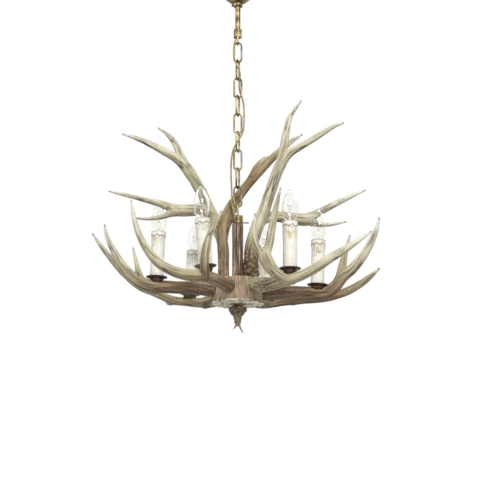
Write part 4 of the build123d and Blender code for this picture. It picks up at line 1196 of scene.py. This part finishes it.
def candle_sleeve(turn):
    """One sleeve's points, faces and glaze, in its candle's own frame."""
    # the rows of points are close where the drips are and far apart on the plain foot
    drips_end = SLEEVE_TOP - DRIPS_REACH
    heights = np.concatenate([np.linspace(SLEEVE_FOOT, drips_end, FOOT_ROWS, endpoint=False),
                              np.linspace(drips_end, SLEEVE_TOP, DRIP_ROWS)])
    angles = np.arange(SLEEVE_SIDES) / SLEEVE_SIDES * math.tau
    angle, height = np.meshgrid(angles, heights)
    thick, glaze = drip_field(angle, height, turn)
    radius = SLEEVE_RADIUS + WAX_THICKNESS * thick ** 0.6
    # glaze has also run round the rim
    glaze = np.maximum(glaze, np.exp(-((SLEEVE_TOP - 1.2 - height) / 0.9) ** 2) * 0.6) * 0.9
    outer = np.stack([radius * np.cos(angle), radius * np.sin(angle), height], axis=2)
    points, glazed = [outer.reshape(-1, 3)], [glaze.ravel()]
    # the rounded rim and the bore: radius, height and glaze
    inner = [(SLEEVE_RADIUS + 0.7, SLEEVE_TOP + 0.5, 0.1),
             (SLEEVE_RADIUS - 0.6, SLEEVE_TOP + 0.6, 0.0),
             (SLEEVE_BORE, SLEEVE_TOP, 0.3),
             (SLEEVE_BORE, SLEEVE_FOOT, 0.0)]
    for r, z, g in inner:
        points.append(np.stack([r * np.cos(angles), r * np.sin(angles), np.full(SLEEVE_SIDES, z)],
                               axis=1))
        glazed.append(np.full(SLEEVE_SIDES, g))
    faces = []
    rings = len(heights) + len(inner)
    for i in range(rings):
        first, second = i * SLEEVE_SIDES, (i + 1) % rings * SLEEVE_SIDES
        for k in range(SLEEVE_SIDES):
            n = (k + 1) % SLEEVE_SIDES
            faces.append((first + k, first + n, second + n, second + k))
    return np.vstack(points), faces, np.concatenate(glazed)


def dress_candles():
    """All six sleeves as one piece."""
    points, faces, glaze = [], [], []
    for n, candle in enumerate(CANDLES):
        own_points, own_faces, own_glaze = candle_sleeve(DRIPS_TURN * n)
        start = sum(len(p) for p in points)
        matrix = np.array(candle_frame(candle))
        points.append(own_points @ matrix[:3, :3].T + matrix[:3, 3])
        faces += [tuple(start + i for i in face) for face in own_faces]
        glaze.append(own_glaze)
    mesh = bpy.data.meshes.new("candle_sleeves_waxed")
    mesh.from_pydata((np.vstack(points) * MM).tolist(), [], faces)
    write_back(mesh, np.vstack(points), furrow=np.concatenate(glaze))
    piece = new_piece("candle_sleeves_waxed", mesh, WAX)
    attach(piece, "lamp")
    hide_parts("candle_sleeves")


def lathe(name, outline, sides=40):
    """A turned mesh from (radius, height) points in millimetres, closed on the axis."""
    mesh = bmesh.new()
    rings = []
    for radius, height in outline:
        if radius == 0:
            rings.append([mesh.verts.new((0, 0, height * MM))])
            continue
        ring = []
        for k in range(sides):
            angle = math.tau * k / sides
            ring.append(mesh.verts.new((radius * math.cos(angle) * MM,
                                        radius * math.sin(angle) * MM, height * MM)))
        rings.append(ring)
    for first, second in zip(rings, rings[1:]):
        for k in range(sides):
            n = (k + 1) % sides
            corners = [first[k % len(first)], first[n % len(first)],
                       second[n % len(second)], second[k % len(second)]]
            # on the axis two corners are one
            mesh.faces.new(list(dict.fromkeys(corners)))
    for face in mesh.faces:
        face.smooth = True
    data = bpy.data.meshes.new(name)
    mesh.to_mesh(data)
    mesh.free()
    return data


def bulb_inside(candle):
    """A bulb's screw cap with its rolled thread, the glass foot, two leads, a support wire
    and the coiled filament between the leads."""
    thread = [(0, CAP_TOP - 27), (4.2, CAP_TOP - 27), (4.4, CAP_TOP - 24.5)]
    for turn in range(THREAD_TURNS):
        thread += [(6.3, CAP_TOP - 23.5 + THREAD_PITCH * turn),
                   (CAP_RADIUS - 0.05, CAP_TOP - 22 + THREAD_PITCH * turn)]
    thread += [(6.7, CAP_TOP - 4), (CAP_RADIUS - 0.05, CAP_TOP - 2),
               (CAP_RADIUS - 0.05, CAP_TOP), (0, CAP_TOP)]
    foot = [(0, CAP_TOP + 0.1), (4.2, CAP_TOP + 0.1), (3.2, CAP_TOP + 4), (1.9, CAP_TOP + 8),
            (1.5, CAP_TOP + 16), (2.1, CAP_TOP + 19), (2.1, CAP_TOP + 21), (0, CAP_TOP + 22.5)]
    wires = [([Vector((side * x, y, CAP_TOP + z)) for x, y, z in LEAD_WIRE], WIRE_RADIUS)
             for side in (-1, 1)]
    wires.append(([Vector((x, y, CAP_TOP + z)) for x, y, z in SUPPORT_WIRE], WIRE_RADIUS))
    coil = []
    for i in range(COIL_STEPS + 1):
        t = i / COIL_STEPS
        angle = t * COIL_TURNS * math.tau
        x = (t - 0.5) * COIL_SPAN
        z = COIL_HEIGHT - COIL_SAG * (1 - (2 * t - 1) ** 2)
        coil.append(Vector((x, COIL_RADIUS * math.sin(angle),
                            CAP_TOP + z + COIL_RADIUS * math.cos(angle))))
    wires.append((coil, FILAMENT_RADIUS))
    # each part with the number of its material
    parts = [(lathe("cap", thread), 0), (lathe("foot", foot), 1)]
    for line, radius in wires:
        parts.append((tube_mesh("wire", [p * MM for p in line], radius * MM, sides=6), 2))
    mesh = bmesh.new()
    for part, slot in parts:
        before = len(mesh.faces)
        mesh.from_mesh(part)
        mesh.faces.ensure_lookup_table()
        for face in mesh.faces[before:]:
            face.material_index = slot
        bpy.data.meshes.remove(part)
    matrix = candle_frame(candle)
    matrix.translation = matrix.translation * MM
    mesh.transform(matrix)
    name = "bulb_inside_" + str(candle[0])
    data = bpy.data.meshes.new(name)
    mesh.to_mesh(data)
    mesh.free()
    piece = new_piece(name, data, NICKEL, GLASS, TUNGSTEN)
    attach(piece, "bulb_" + str(candle[0]))
    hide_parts("bulb_cap_" + str(candle[0]))


dress_candles()
for candle in CANDLES:
    bulb_inside(candle)
